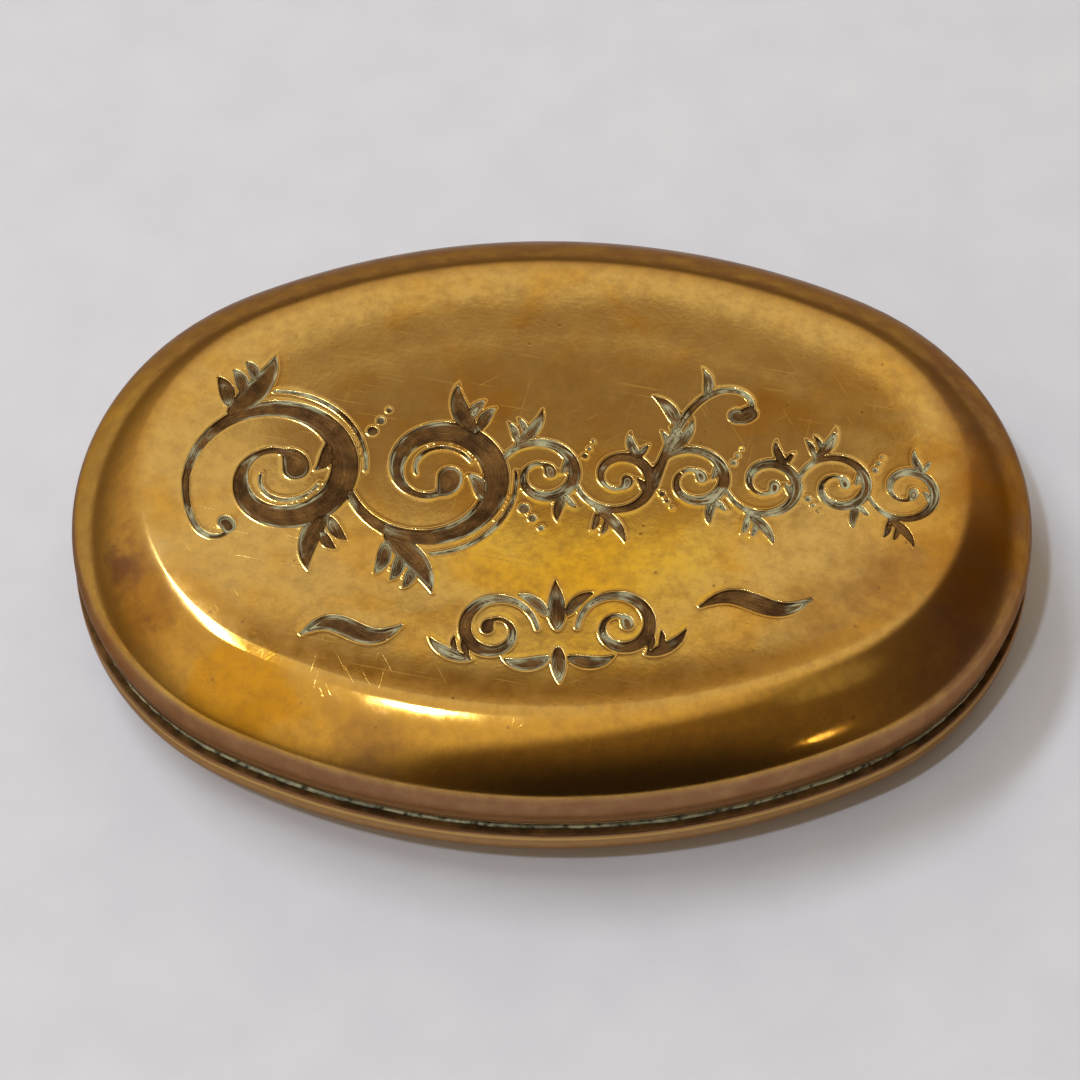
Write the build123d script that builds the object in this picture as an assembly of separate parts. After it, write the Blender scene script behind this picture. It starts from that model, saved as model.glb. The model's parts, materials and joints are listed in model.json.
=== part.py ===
from build123d import *
import os
from math import atan2, cos, degrees, radians, sin

# Oval pocket box of sheet brass with a hinged lid, in millimetres.
# X runs along the box, -Y is its front, +Z is up, and the origin is the centre of the face it rests on.
# A profile is drawn in two coordinates: the distance outside the plan oval, and the height.
# Profile angles are those of the outward normal above the horizontal.

# Plan oval of the case: four tangent arcs, two round the ends and two along the sides
box_length = 86.0
box_width = 60.0
end_radius = 26.0

# Sheet brass and the case
sheet_thickness = 0.6
case_height = 8.0
case_corner_radius = 4.0
case_belly_radius = 14.0
case_foot_radius = 3.0
case_corner_angle = -40.0
case_belly_angle = -65.0
case_floor_margin = 1.0
rim_edge_radius = 0.3

# Lid: skirt, ridge at its widest line, shoulder of three arcs, and a low crown
lid_gap = 1.2
skirt_height = 2.4
skirt_lean = 0.35
shoulder_inset = 0.1
shoulder_corner_radius = 4.3
shoulder_slope_radius = 14.0
shoulder_top_radius = 3.0
shoulder_corner_angle = 40.0
shoulder_slope_angle = 65.0
panel_edge_angle = 87.0

# Collar that stands up from the case inside the lid's skirt, and its solder
collar_thickness = 0.5
collar_depth = 2.6
collar_rise = 2.8
collar_clearance = 0.15
collar_end_gap = 0.4
solder_leg = 0.4

# Hinge at the middle of the back: knuckles of tube, pin and the bearer bars behind them
hinge_length = 28.0
knuckle_count = 5
barrel_radius = 1.3
hinge_inset = 0.8
pin_radius = 0.5
pin_running_gap = 0.05
pin_tight_gap = 0.01
pin_end_round = 0.2
knuckle_gap = 0.12
barrel_clearance = 0.15
bearer_depth = 2.4
bearer_height = 3.2
bearer_gap = 0.3

# Sizes that follow from the ones above
half_length = box_length / 2
half_width = box_width / 2
side_radius = (half_length**2 + half_width**2 - 2 * half_length * end_radius) / (
    2 * (half_width - end_radius)
)
end_centre = half_length - end_radius
side_centre = side_radius - half_width
meeting_angle = degrees(atan2(side_centre, end_centre))
skirt_bottom = case_height + lid_gap
ridge_height = skirt_bottom + skirt_height
skirt_inner_face = -(shoulder_inset + skirt_lean + sheet_thickness)
collar_face = skirt_inner_face - collar_clearance
wall_inner_face = -sheet_thickness
hinge_y = half_width - hinge_inset
hinge_z = case_height + lid_gap / 2
knuckle_pitch = hinge_length / knuckle_count


def oval_arcs():
    """Centre x, centre y, radius, start angle and sweep of the oval's four arcs, anticlockwise."""
    side_sweep = 180 - 2 * meeting_angle
    end_sweep = 2 * meeting_angle
    return [
        (end_centre, 0, end_radius, -meeting_angle, end_sweep),
        (0, -side_centre, side_radius, meeting_angle, side_sweep),
        (-end_centre, 0, end_radius, 180 - meeting_angle, end_sweep),
        (0, side_centre, side_radius, 180 + meeting_angle, side_sweep),
    ]


def oval_face(offset):
    """Flat face inside the plan oval moved outwards by offset."""
    edges = [CenterArc((x, y), r + offset, start, sweep) for x, y, r, start, sweep in oval_arcs()]
    return make_face(edges)


def oval_plate(offset, low, high):
    """Solid plate with the plan oval's outline, between two heights."""
    return extrude(Pos(0, 0, low) * oval_face(offset), amount=high - low)


def carry_round(profile):
    """Solid made by carrying a profile face round the oval, arc by arc."""
    sectors = []
    for x, y, r, start, sweep in oval_arcs():
        out = Vector(cos(radians(start)), sin(radians(start)), 0)
        plane = Plane(origin=Vector(x, y, 0) + out * r, x_dir=out, z_dir=(out.Y, -out.X, 0))
        sectors.append(revolve(plane * profile, axis=Axis((x, y, 0), (0, 0, 1)), revolution_arc=sweep))
    return sectors[0] + sectors[1:]


def arc_chain(start, first_angle, steps):
    """Tangent arcs from a start point: a list of (centre, radius, from angle, to angle)."""
    arcs = []
    point = Vector(*start)
    angle = first_angle
    for radius, last_angle in steps:
        turn_in = Vector(cos(radians(angle)), sin(radians(angle)))
        turn_out = Vector(cos(radians(last_angle)), sin(radians(last_angle)))
        centre = point - turn_in * radius
        arcs.append((centre, radius, angle, last_angle))
        point = centre + turn_out * radius
        angle = last_angle
    return arcs


def chain_edges(arcs, inset=0.0):
    """Edges of a chain of arcs, moved inwards by inset."""
    return [CenterArc((c.X, c.Y), r - inset, first, last - first) for c, r, first, last in arcs]


def arc_point(arc, at_end, inset=0.0):
    """End or start point of one arc of a chain, moved inwards by inset."""
    centre, radius, first, last = arc
    angle = radians(last if at_end else first)
    return centre + Vector(cos(angle), sin(angle)) * (radius - inset)


def case_arcs():
    """Outer arcs of the case's wall, from the foot of its upright part down to the flat floor."""
    steps = [
        (case_corner_radius, case_corner_angle),
        (case_belly_radius, case_belly_angle),
        (case_foot_radius, -90.0),
    ]
    free = arc_chain((0, 0), 0.0, steps)
    drop = -arc_point(free[-1], True).Y
    return arc_chain((0, drop), 0.0, steps)


def case_wall():
    """The case without its ledge: upright wall, belly and floor."""
    arcs = case_arcs()
    start = arc_point(arcs[0], False)
    foot = arc_point(arcs[-1], True)
    floor_edge = foot.X - case_floor_margin
    outer = [Line((0, case_height - rim_edge_radius), (0, start.Y))] + chain_edges(arcs)
    outer.append(Line((foot.X, 0), (floor_edge, 0)))
    outer.append(Line((floor_edge, 0), (floor_edge, sheet_thickness)))
    inner = [Line((floor_edge, sheet_thickness), (foot.X, sheet_thickness))]
    inner += chain_edges(arcs, sheet_thickness)
    inner.append(Line((wall_inner_face, start.Y), (wall_inner_face, case_height)))
    rim = [
        Line((wall_inner_face, case_height), (-rim_edge_radius, case_height)),
        CenterArc((-rim_edge_radius, case_height - rim_edge_radius), rim_edge_radius, 0, 90),
    ]
    return carry_round(make_face(outer + inner + rim)) + oval_plate(floor_edge, 0, sheet_thickness)


def ring(outer_offset, inner_offset, low, high):
    """Flat-sided ring between two ovals."""
    return oval_plate(outer_offset, low, high) - oval_plate(inner_offset, low, high)


def back_block(half_span, low, high, depth):
    """Block across the back of the box that reaches in from outside it by depth from the hinge axis."""
    front = hinge_y - depth
    back = half_width + barrel_radius
    middle = Pos(0, (front + back) / 2, (low + high) / 2)
    return middle * Box(2 * half_span, back - front, high - low)


def along_hinge(first, last, radius):
    """Cylinder about the hinge axis between two places on X."""
    plane = Plane(origin=(first, hinge_y, hinge_z), z_dir=(1, 0, 0))
    return extrude(plane * Circle(radius), amount=last - first)


def cut_for_barrel(shape, own_start):
    """Shape less room for the barrel: the knuckles of its own half touch it, the others turn clear of it."""
    shape -= along_hinge(-hinge_length / 2, hinge_length / 2, barrel_radius)
    for index in range(1 - own_start, knuckle_count, 2):
        first = -hinge_length / 2 + index * knuckle_pitch - knuckle_gap
        last = first + knuckle_pitch + 2 * knuckle_gap
        shape -= along_hinge(first, last, barrel_radius + barrel_clearance)
    return shape


def knuckle(index, bore_gap):
    """One knuckle of tube."""
    first = -hinge_length / 2 + index * knuckle_pitch + knuckle_gap / 2
    last = first + knuckle_pitch - knuckle_gap
    return along_hinge(first, last, barrel_radius) - along_hinge(first, last, pin_radius + bore_gap)


def hinge_pin():
    """Pin through all the knuckles, with its ends rounded over."""
    wire = along_hinge(-hinge_length / 2, hinge_length / 2, pin_radius)
    return fillet(wire.edges().filter_by(GeomType.CIRCLE), pin_end_round)


def case_shell():
    """Case with its inward ledge, cut away for the barrel at the back."""
    ledge_low = case_height - sheet_thickness
    ledge = ring(wall_inner_face, collar_face, ledge_low, case_height)
    ledge -= back_block(hinge_length / 2, ledge_low, case_height, half_width)
    return cut_for_barrel(case_wall() + ledge, 0)


def collar_cut(low, high):
    """Block that opens the collar and its solder where the hinge is."""
    return back_block(hinge_length / 2 + collar_end_gap, low, high, half_width)


def inner_collar():
    """Collar inside the ledge, open at the back for the hinge."""
    low = case_height - collar_depth
    high = case_height + collar_rise
    return ring(collar_face, collar_face - collar_thickness, low, high) - collar_cut(low, high)


def collar_solder():
    """Line of solder in the corner between the ledge and the collar."""
    corner = (collar_face, case_height)
    tips = [(collar_face + solder_leg, case_height), (collar_face, case_height + solder_leg)]
    line = carry_round(make_face(Polyline(corner, *tips, close=True)))
    return line - collar_cut(case_height, case_height + solder_leg)


def case_bearer():
    """Bar behind the back wall that carries the case's knuckles."""
    low = hinge_z - bearer_height
    high = hinge_z - bearer_gap / 2
    blank = back_block(hinge_length / 2, low, high, bearer_depth) & oval_plate(wall_inner_face, low, high)
    return cut_for_barrel((blank - case_wall()).solids().sort_by(Axis.Y)[0], 0)


def lid_arcs():
    """Outer arcs of the lid, from its ridge up the shoulder and over the crown to the end centres."""
    steps = [
        (shoulder_corner_radius, shoulder_corner_angle),
        (shoulder_slope_radius, shoulder_slope_angle),
        (shoulder_top_radius, panel_edge_angle),
    ]
    start = (-shoulder_inset, ridge_height)
    panel_edge = arc_point(arc_chain(start, 0.0, steps)[-1], True)
    crown_radius = (end_radius + panel_edge.X) / cos(radians(panel_edge_angle))
    return arc_chain(start, 0.0, steps + [(crown_radius, 90.0)])


def lid_shell():
    """Lid of one sheet: leaning skirt, shoulder and crowned panel."""
    arcs = lid_arcs()
    top = arc_point(arcs[-1], True)
    under = arc_point(arcs[-1], True, sheet_thickness)
    skirt_outer = skirt_inner_face + sheet_thickness
    edges = [Line((skirt_outer, skirt_bottom), (-shoulder_inset, ridge_height))]
    edges += chain_edges(arcs)
    edges.append(Line((top.X, top.Y), (under.X, under.Y)))
    edges += chain_edges(arcs, sheet_thickness)
    ridge_inner = -shoulder_inset - sheet_thickness
    edges.append(Line((ridge_inner, ridge_height), (skirt_inner_face, skirt_bottom)))
    edges.append(Line((skirt_inner_face, skirt_bottom), (skirt_outer, skirt_bottom)))
    crown_middle = extrude(Pos(0, 0, under.Y) * middle_lens(), amount=sheet_thickness)
    return carry_round(make_face(edges)) + crown_middle


def middle_lens():
    """Level patch between the two side arcs, where the crown has flattened out."""
    radius = side_radius - end_radius
    arcs = [
        CenterArc((0, -side_centre), radius, meeting_angle, 180 - 2 * meeting_angle),
        CenterArc((0, side_centre), radius, 180 + meeting_angle, 180 - 2 * meeting_angle),
    ]
    return make_face(arcs)


def lid_bearer(shell):
    """Bar inside the lid's skirt that carries the lid's knuckles."""
    low = hinge_z + bearer_gap / 2
    high = hinge_z + bearer_height
    inner_limit = -shoulder_inset - sheet_thickness
    blank = back_block(hinge_length / 2, low, high, bearer_depth) & oval_plate(inner_limit, low, high)
    return cut_for_barrel((blank - shell).solids().sort_by(Axis.Y)[0], 1)


def all_parts():
    """Every separate piece of the box by name."""
    shell = lid_shell()
    parts = {
        "case_shell": case_shell(),
        "inner_collar": inner_collar(),
        "collar_solder": collar_solder(),
        "case_hinge_bearer": case_bearer(),
        "hinge_pin": hinge_pin(),
        "lid_shell": cut_for_barrel(shell, 1),
        "lid_hinge_bearer": lid_bearer(shell),
    }
    for index in range(knuckle_count):
        half = "case" if index % 2 == 0 else "lid"
        gap = pin_tight_gap if half == "case" else pin_running_gap
        parts[f"{half}_knuckle_{index + 1}"] = knuckle(index, gap)
    return parts


os.makedirs("parts", exist_ok=True)
for name, shape in all_parts().items():
    export_step(shape, f"parts/{name}.step")
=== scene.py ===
import json
from functools import partial
from math import acos, atan2, cos, pi, radians, sin
from types import SimpleNamespace

import bpy
import numpy as np
from bpy.props import FloatProperty, FloatVectorProperty, IntProperty, PointerProperty
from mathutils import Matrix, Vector


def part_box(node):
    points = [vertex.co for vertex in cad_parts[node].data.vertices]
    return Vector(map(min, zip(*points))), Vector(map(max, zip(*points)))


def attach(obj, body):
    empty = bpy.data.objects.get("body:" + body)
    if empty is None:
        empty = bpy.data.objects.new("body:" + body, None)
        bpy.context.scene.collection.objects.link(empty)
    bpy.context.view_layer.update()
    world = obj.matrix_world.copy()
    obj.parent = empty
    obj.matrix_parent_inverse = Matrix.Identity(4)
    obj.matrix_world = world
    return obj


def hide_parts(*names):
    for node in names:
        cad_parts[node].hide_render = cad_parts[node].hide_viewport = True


bl_info = {
    "name": "Oval brass tobacco box",
    "version": (1, 0, 0),
    "blender": (4, 5, 0),
    "location": "3D View > Sidebar > Tobacco Box",
    "description": "Dresses the frame of an oval hinged box with engraved, hand-polished brass sheet",
    "category": "Add Mesh",
}

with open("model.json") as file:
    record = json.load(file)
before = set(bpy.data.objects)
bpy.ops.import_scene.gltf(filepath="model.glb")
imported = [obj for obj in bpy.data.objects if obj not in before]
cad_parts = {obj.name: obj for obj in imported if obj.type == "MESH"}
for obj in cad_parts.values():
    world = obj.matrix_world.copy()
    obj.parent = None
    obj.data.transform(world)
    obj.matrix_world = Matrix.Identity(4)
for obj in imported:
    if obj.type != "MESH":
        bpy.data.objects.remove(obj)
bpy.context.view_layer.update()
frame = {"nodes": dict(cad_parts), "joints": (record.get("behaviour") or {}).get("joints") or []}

# X runs along the box, -Y is its front, +Z is up. Shapes are worked out in millimetres and written in metres.
# A profile is drawn in two coordinates: the offset outside the plan oval, and the height.
MM = 0.001
CASE_LOW, CASE_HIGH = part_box("case_shell")
LID_LOW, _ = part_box("lid_shell")
HINGE = next(joint for joint in frame["joints"] if joint["name"] == "lid_hinge")
_, AXIS_Y, AXIS_Z = (place / MM for place in HINGE["pos_m"])


def linear(hex_colour):
    """Linear RGBA of an sRGB hex colour."""
    parts = [int(hex_colour[i : i + 2], 16) / 255 for i in (1, 3, 5)]
    return tuple(p / 12.92 if p <= 0.04045 else ((p + 0.055) / 1.055) ** 2.4 for p in parts) + (1.0,)


def length(name, description, default):
    """A size in metres that a user may change."""
    return FloatProperty(name=name, description=description, default=default, unit="LENGTH", precision=5)


def angle(name, description, default):
    """An angle that a user may change, given in degrees."""
    return FloatProperty(name=name, description=description, default=radians(default), unit="ROTATION")


def colour(name, description, default):
    """A colour that a user may change, given as sRGB hex."""
    return FloatVectorProperty(name=name, description=description, default=linear(default), subtype="COLOR", size=4)


class BoxSizes(bpy.types.PropertyGroup):
    """Sizes of the sheet brass, the same in lid and case."""

    half_length: length("Half length", "Half of the plan oval's length", CASE_HIGH.x)
    half_width: length("Half width", "Half of the plan oval's width", -CASE_LOW.y)
    end_radius: length("End radius", "Radius of the oval's two end arcs", 0.026)
    sheet: length("Sheet", "Thickness of the brass sheet", 0.0006)
    case_height: length("Case height", "Height of the case's rim above the table", CASE_HIGH.z)
    rim_round: length("Rim edge", "Radius of the case's burnished rim edge", 0.0003)
    ledge_inner: length("Ledge", "How far the case's ledge reaches in from the outline", 0.0012)
    lid_bottom: length("Skirt bottom", "Height of the lid's lower edge", LID_LOW.z)
    ridge_height: length("Ridge height", "Height of the lid's widest line", 0.0116)
    ridge_inset: length("Ridge inset", "How far the lid's ridge stands inside the case's outline", 0.0001)
    skirt_lean: length("Skirt lean", "How far the skirt leans inwards below the ridge", 0.00035)
    collar_thickness: length("Collar", "Thickness of the inner collar", 0.0005)
    collar_low: length("Collar foot", "Height of the collar's lower edge", 0.0054)
    collar_high: length("Collar top", "Height of the collar's upper edge", 0.0108)


class HingeSizes(bpy.types.PropertyGroup):
    """Sizes of the five-knuckle hinge."""

    span: length("Span", "Length of the whole barrel", 0.028)
    barrel: length("Barrel radius", "Radius of a knuckle", 0.0013)
    clearance: length("Clearance", "Room that a sheet leaves round the other half's knuckles", 0.00015)
    side_gap: length("Side gap", "Gap between neighbouring knuckles", 0.00012)
    collar_gap: length("Collar gap", "Gap between the barrel and the collar's ends", 0.0004)
    knuckles: IntProperty(name="Knuckles", description="Number of knuckles", default=5, min=3, max=9)


class EngravingSizes(bpy.types.PropertyGroup):
    """Sizes of the engraved scrollwork on the lid."""

    depth: length("Cut depth", "Depth of the cuts", 0.00026)
    wall: length("Cut wall", "Width of a cut's sloping wall", 0.0002)
    burr: length("Burr", "Height of the burnished lip along a cut", 0.000008)
    burr_width: length("Burr width", "Width of that lip", 0.00014)
    slope: angle("Slope", "How far the lines of ornament climb to the right", 2.4)
    cell: length("Cell", "Spacing of the panel's grid", 0.0002)


class Finishes(bpy.types.PropertyGroup):
    """Colours of the metal, its tarnish and the deposits on it."""

    brass: colour("Brass", "Rubbed bright brass", "#EEC873")
    amber: colour("Amber tarnish", "Thin warm tarnish on brass", "#EAAD34")
    orange: colour("Orange tarnish", "Deep orange tarnish at the ends, where skirt and shoulder are held", "#A86A10")
    # Besides tarnish, brown is painted as shade along the top of skirt and case wall and over the front crease.
    brown: colour("Brown tarnish", "Thick brown tarnish", "#8E6446")
    film: colour("Film", "Dull film on skirt and case wall, where no thumb rubs", "#BC956A")
    inside: colour("Inside", "Unpolished inside of the box", "#B18D50")
    # This oxide is also painted on the case's ledge and the lid's lower edge, partly as dirt and partly as shade in
    # the joint.
    cut_floor: colour("Cut floor", "Dark oxide on the floor of the cuts", "#46301A")
    cut_patch: colour("Cut patch", "Thinner oxide in patches on that floor", "#76542C")
    verdigris: colour("Verdigris", "Dried polish and verdigris in cuts and joint", "#BAB68E")
    solder: colour("Solder", "Aged tin-lead solder", "#8E8E74")
    old_dirt: colour("Old dirt", "Black dirt in the joint's corner", "#4A4836")
    wire: colour("Pin wire", "Old drawn steel wire", "#8C857C")
    wire_stain: colour("Pin stain", "Brown stain on the wire", "#5A4636")
    floor: colour("Floor", "Matt pale paper", "#DCDBDB")
    floor_cloud: colour("Floor cloud", "Slightly darker tone in the paper", "#D8D7D8")


def in_millimetres(group):
    """A property group's values, with every length in millimetres."""
    values = SimpleNamespace()
    for prop in group.bl_rna.properties:
        if prop.identifier in ("rna_type", "name"):
            continue
        value = getattr(group, prop.identifier)
        is_length = prop.type == "FLOAT" and prop.unit == "LENGTH"
        setattr(values, prop.identifier, value / MM if is_length else value)
    return values


# Plan oval


def plan_oval(sizes):
    """The oval's arcs: end arcs centred on X, side arcs centred on Y beyond the far side, tangent where they meet."""
    a, b, r = sizes.half_length, sizes.half_width, sizes.end_radius
    side = (a * a + b * b - 2 * a * r) / (2 * (b - r))
    return SimpleNamespace(
        end_radius=r,
        end_centre=a - r,
        side_radius=side,
        side_centre=side - b,
        meeting=atan2(side - b, a - r),
    )


def box_shapes(settings):
    """The sizes of box and hinge in millimetres, and the plan oval."""
    sizes = in_millimetres(settings.box)
    return sizes, in_millimetres(settings.hinge), plan_oval(sizes)


def outline(oval, normal, offset):
    """Points of the oval moved outwards by offset, at an angle of the outward normal: centre + radius * normal."""
    along, across = np.cos(normal), np.sin(normal)
    on_side = np.abs(across) > sin(oval.meeting)
    centre_x = np.where(on_side, 0.0, np.sign(along) * oval.end_centre)
    centre_y = np.where(on_side, -np.sign(across) * oval.side_centre, 0.0)
    radius = np.where(on_side, oval.side_radius, oval.end_radius) + offset
    return centre_x + radius * along, centre_y + radius * across


def depth_inside(oval, x, y):
    """How far points lie inside the oval: arc radius less the distance to the arc's centre, up to the end radius."""
    x, y = np.abs(x), np.abs(y)
    past_end = (x - oval.end_centre) * sin(oval.meeting) > y * cos(oval.meeting)
    to_end = oval.end_radius - np.hypot(x - oval.end_centre, y)
    to_side = oval.side_radius - np.hypot(x, y + oval.side_centre)
    return np.minimum(np.where(past_end, to_end, to_side), oval.end_radius)


def normal_towards(oval, x, y, inset):
    """Normal angle of the inset oval's point that lies on the ray from the middle towards (x, y).

    A ray of direction d meets a circle of radius r about c at s = d.c + sqrt(r^2 - (d x c)^2), and the normal there
    is the direction from c. The end arc holds where that normal lies within the meeting angle, else the side arc.
    """
    length_ = np.maximum(np.hypot(x, y), 1e-9)
    dx, dy = np.abs(x) / length_, np.abs(y) / length_

    def meet(cx, cy, radius):
        reach = dx * cx + dy * cy + np.sqrt(radius**2 - (dx * cy - dy * cx) ** 2)
        return np.arctan2(reach * dy - cy, reach * dx - cx), reach

    end_normal, end_reach = meet(oval.end_centre, 0.0, oval.end_radius - inset)
    side_normal, side_reach = meet(0.0, -oval.side_centre, oval.side_radius - inset)
    on_end = end_normal < oval.meeting
    normal = np.where(on_end, end_normal, side_normal)
    reach = np.where(on_end, end_reach, side_reach)
    normal = np.where(x < 0, pi - normal, normal)
    return np.where(y < 0, -normal, normal) % (2 * pi), reach


# Profiles


def smoothstep(t):
    """0 below 0, 1 above 1, 3t^2 - 2t^3 between."""
    t = np.clip(t, 0.0, 1.0)
    return t * t * (3 - 2 * t)


def arc_rows(start, first, steps):
    """Points along tangent arcs from a start point: each step is (radius, last normal angle in degrees, rows)."""
    rows = [start]
    point = np.array(start)
    turn = radians(first)
    for radius, last, count in steps:
        centre = point - radius * np.array([cos(turn), sin(turn)])
        turns = np.linspace(turn, radians(last), count + 1)[1:]
        rows += [tuple(centre + radius * np.array([cos(t), sin(t)])) for t in turns]
        point = np.array(rows[-1])
        turn = radians(last)
    return rows


# Arcs of the lid's shoulder, up from its ridge, and of the case's belly, down from its wall: radius in mm, angle of
# the normal in degrees where the arc ends, and rows
SHOULDER = ((4.3, 40.0, 9), (14.0, 65.0, 7), (3.0, 87.0, 8))
CASE_BELLY = ((4.0, -40.0, 8), (14.0, -65.0, 6), (3.0, -90.0, 7))


def shoulder_rows(sizes, inset):
    """The lid's shoulder from ridge to panel edge, moved inwards through the sheet by inset."""
    steps = [(radius - inset, last, count) for radius, last, count in SHOULDER]
    return arc_rows((-sizes.ridge_inset - inset, sizes.ridge_height), 0.0, steps)


def crown_height(sizes, depth, inset):
    """Height of the crown at a depth inside the outline: a circle of large radius about the end centres' line."""
    edge = shoulder_rows(sizes, 0.0)[-1]
    edge_angle = radians(SHOULDER[-1][1])
    radius = (sizes.end_radius + edge[0]) / cos(edge_angle)
    base = edge[1] - radius * sin(edge_angle)
    return base + np.sqrt((radius - inset) ** 2 - (sizes.end_radius - depth) ** 2)


def other_knuckles(hinge, own_start):
    """First and last place on X of each of the other half's knuckles, gaps included.

    A sheet's own knuckles are every second one, from the first (own_start 0, the case) or the second (1, the lid).
    """
    pitch = hinge.span / hinge.knuckles
    firsts = [-hinge.span / 2 + index * pitch - hinge.side_gap for index in range(1 - own_start, hinge.knuckles, 2)]
    return [(first, first + pitch + 2 * hinge.side_gap) for first in firsts]


def align_columns(oval, hinge, normals, own_start):
    """Moves the two columns beside each place where the room for the barrel changes to just left and right of it."""
    beside = 0.015
    normals = normals.copy()
    barrel_ends = () if own_start else (-hinge.span / 2, hinge.span / 2)
    for stop in sorted(sum(other_knuckles(hinge, own_start), barrel_ends)):
        x, _ = outline(oval, normals, 0.0)
        at_back = np.sin(normals) > 0.5
        right = np.where(at_back & (x > stop), x, np.inf).argmin()
        left = np.where(at_back & (x <= stop), x, -np.inf).argmax()
        normals[right] = acos((stop + beside) / oval.side_radius)
        normals[left] = acos((stop - beside) / oval.side_radius)
    return normals


def clear_of_barrel(oval, hinge, normals, y, heights, own_start, edge, held):
    """Heights of a sheet, drawn at the back from its edge towards the height held, so that it clears the barrel.

    At the hinge it keeps sqrt(room^2 - (y - axis)^2) above or below the axis, with room the knuckles' radius, and
    the clearance more at the other half's knuckles. All heights between edge and held shrink by the same share.
    """
    x, column_y = outline(oval, normals, 0.0)
    room = np.where(np.abs(x) < hinge.span / 2, hinge.barrel, 0.0)
    for first, last in other_knuckles(hinge, own_start):
        room = np.where((x > first) & (x < last), hinge.barrel + hinge.clearance, room)
    room = np.where(column_y > 0, room, 0.0)
    up = np.sign(held - edge)
    limit = AXIS_Z + up * np.sqrt(np.maximum(room**2 - (y - AXIS_Y) ** 2, 0.0))
    limit = np.where((room > 0) & (up * (limit - edge) > 0), limit, edge)
    share = (held - limit) / (held - edge)
    return np.where(up * (held - heights) > 0, held - (held - heights) * share, heights)


# Meshes


def make_piece(name, points, faces, attributes, sharp_degrees=38.0):
    """A smooth mesh object in the frame from points in millimetres, lists of faces and one value a point."""
    mesh = bpy.data.meshes.new(name)
    mesh.from_pydata((points * MM).tolist(), [], faces)
    for attribute, values in attributes.items():
        layer = mesh.attributes.new(attribute, "FLOAT", "POINT")
        layer.data.foreach_set("value", np.asarray(values, np.float32))
    mesh.shade_smooth()
    mesh.set_sharp_from_angle(angle=radians(sharp_degrees))
    piece = bpy.data.objects.new(name, mesh)
    bpy.context.scene.collection.objects.link(piece)
    return piece


def band_faces(rows):
    """Quads between closed rows of vertex numbers, each row running anticlockwise seen from above."""
    ahead = np.roll(rows, -1, axis=1)
    quads = np.stack([rows[:-1], rows[1:], ahead[1:], ahead[:-1]], axis=-1)
    return quads.reshape(-1, 4).tolist()


def fan_faces(row, pole, outwards):
    """Triangles that close a row of vertex numbers on a pole."""
    ahead = np.roll(row, -1)
    poles = np.full_like(row, pole)
    order = [poles, row, ahead] if outwards else [row, poles, ahead]
    return np.stack(order, axis=-1).tolist()


def bar_faces(across, along):
    """Quads round a bar whose closed cross-sections have across points each, and its two end faces."""
    grid = np.arange(across * along).reshape(along, across)
    ahead = np.roll(grid, -1, axis=1)
    quads = np.stack([grid[:-1], ahead[:-1], ahead[1:], grid[1:]], axis=-1).reshape(-1, 4)
    return quads.tolist() + [grid[0][::-1].tolist(), grid[-1].tolist()]


def dress(piece, body, slot, material, *nodes):
    """Puts a finished piece, with its material, on its body and in the place of its CAD nodes. The slot is not used.
    """
    piece.data.materials.append(material)
    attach(piece, body)
    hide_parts(*nodes)
    return piece


# Engraved ornament: strokes are centre lines with a half-width at each point, in millimetres


SCROLL_TURNS = 1.45
SCROLL_SHRINK = 0.82
EYE_START = 0.88
# The scrolls from left to right: radius, and half-width of the stem where it is thickest
SCROLLS = (
    (8.3, 1.3),
    (7.9, 1.2),
    (4.1, 0.6),
    (3.95, 0.58),
    (3.85, 0.56),
    (3.75, 0.54),
    (3.65, 0.52),
    (3.5, 0.5),
)
BOLD_SCROLLS = 2
# Where the first scroll starts, and how far each lies below the one before, before the whole line is turned
FIRST_SCROLL = (-32.2, 1.2)
SCROLL_DROP = 0.5
# Pearls in the gap after a bold or a small scroll: first place and step on X and on Y, in radii, and size
PEARLS = 3
BOLD_PEARLS = (0.3, 0.09, 0.5, 0.13, 1.6)
SMALL_PEARLS = (0.24, 0.1, 0.46, 0.18, 1.0)


def scroll_point(scroll, share, out=0.0):
    """Points and headings on a scroll after shares of a turn: r = R (1 - 0.82 (share / turns)^0.9), plus out."""
    share = np.asarray(share, float)
    at = scroll.start + scroll.sign * 2 * pi * share
    reach = scroll.radius * (1 - SCROLL_SHRINK * (share / SCROLL_TURNS) ** 0.9) + out
    points = np.stack([scroll.x + reach * np.cos(at), scroll.y + reach * np.sin(at)], -1)
    return points, at + scroll.sign * pi / 2


def scroll_stem(scroll):
    """The scroll's own stroke: half-width from a thin start, as sin^1.2 along the stem, to a round eye at its end."""
    s = np.linspace(0.0, 1.0, 72)
    points, _ = scroll_point(scroll, SCROLL_TURNS * s)
    thin = 0.22 * scroll.thick + 0.1
    widths = thin + (scroll.thick - thin) * np.sin(pi * np.clip(s / 0.78, 0.0, 1.0)) ** 1.2
    eye = thin + (0.95 * scroll.thick - thin) * np.sin(pi / 2 * np.clip((s - EYE_START) / 0.1, 0.0, 1.0))
    return points, np.where(s > EYE_START, eye, widths)


def hairline(scroll, first, last, out, half_width):
    """A thin cut beside the stem, between two shares of a turn, a little thinner at both ends, as sqrt(sin)."""
    s = np.linspace(0.0, 1.0, 40)
    points, _ = scroll_point(scroll, first + (last - first) * s, out)
    return points, half_width * (0.7 + 0.3 * np.sqrt(np.sin(pi * s)))


def bent_line(root, heading, bend, reach):
    """Points of a line from its root: a running sum of equal steps, each turned from the heading by its own bend."""
    turn = heading + bend
    steps = np.stack([np.cos(turn), np.sin(turn)], -1) * reach / (len(bend) - 1)
    return np.array(root) + np.cumsum(steps, axis=0) - steps[0]


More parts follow.
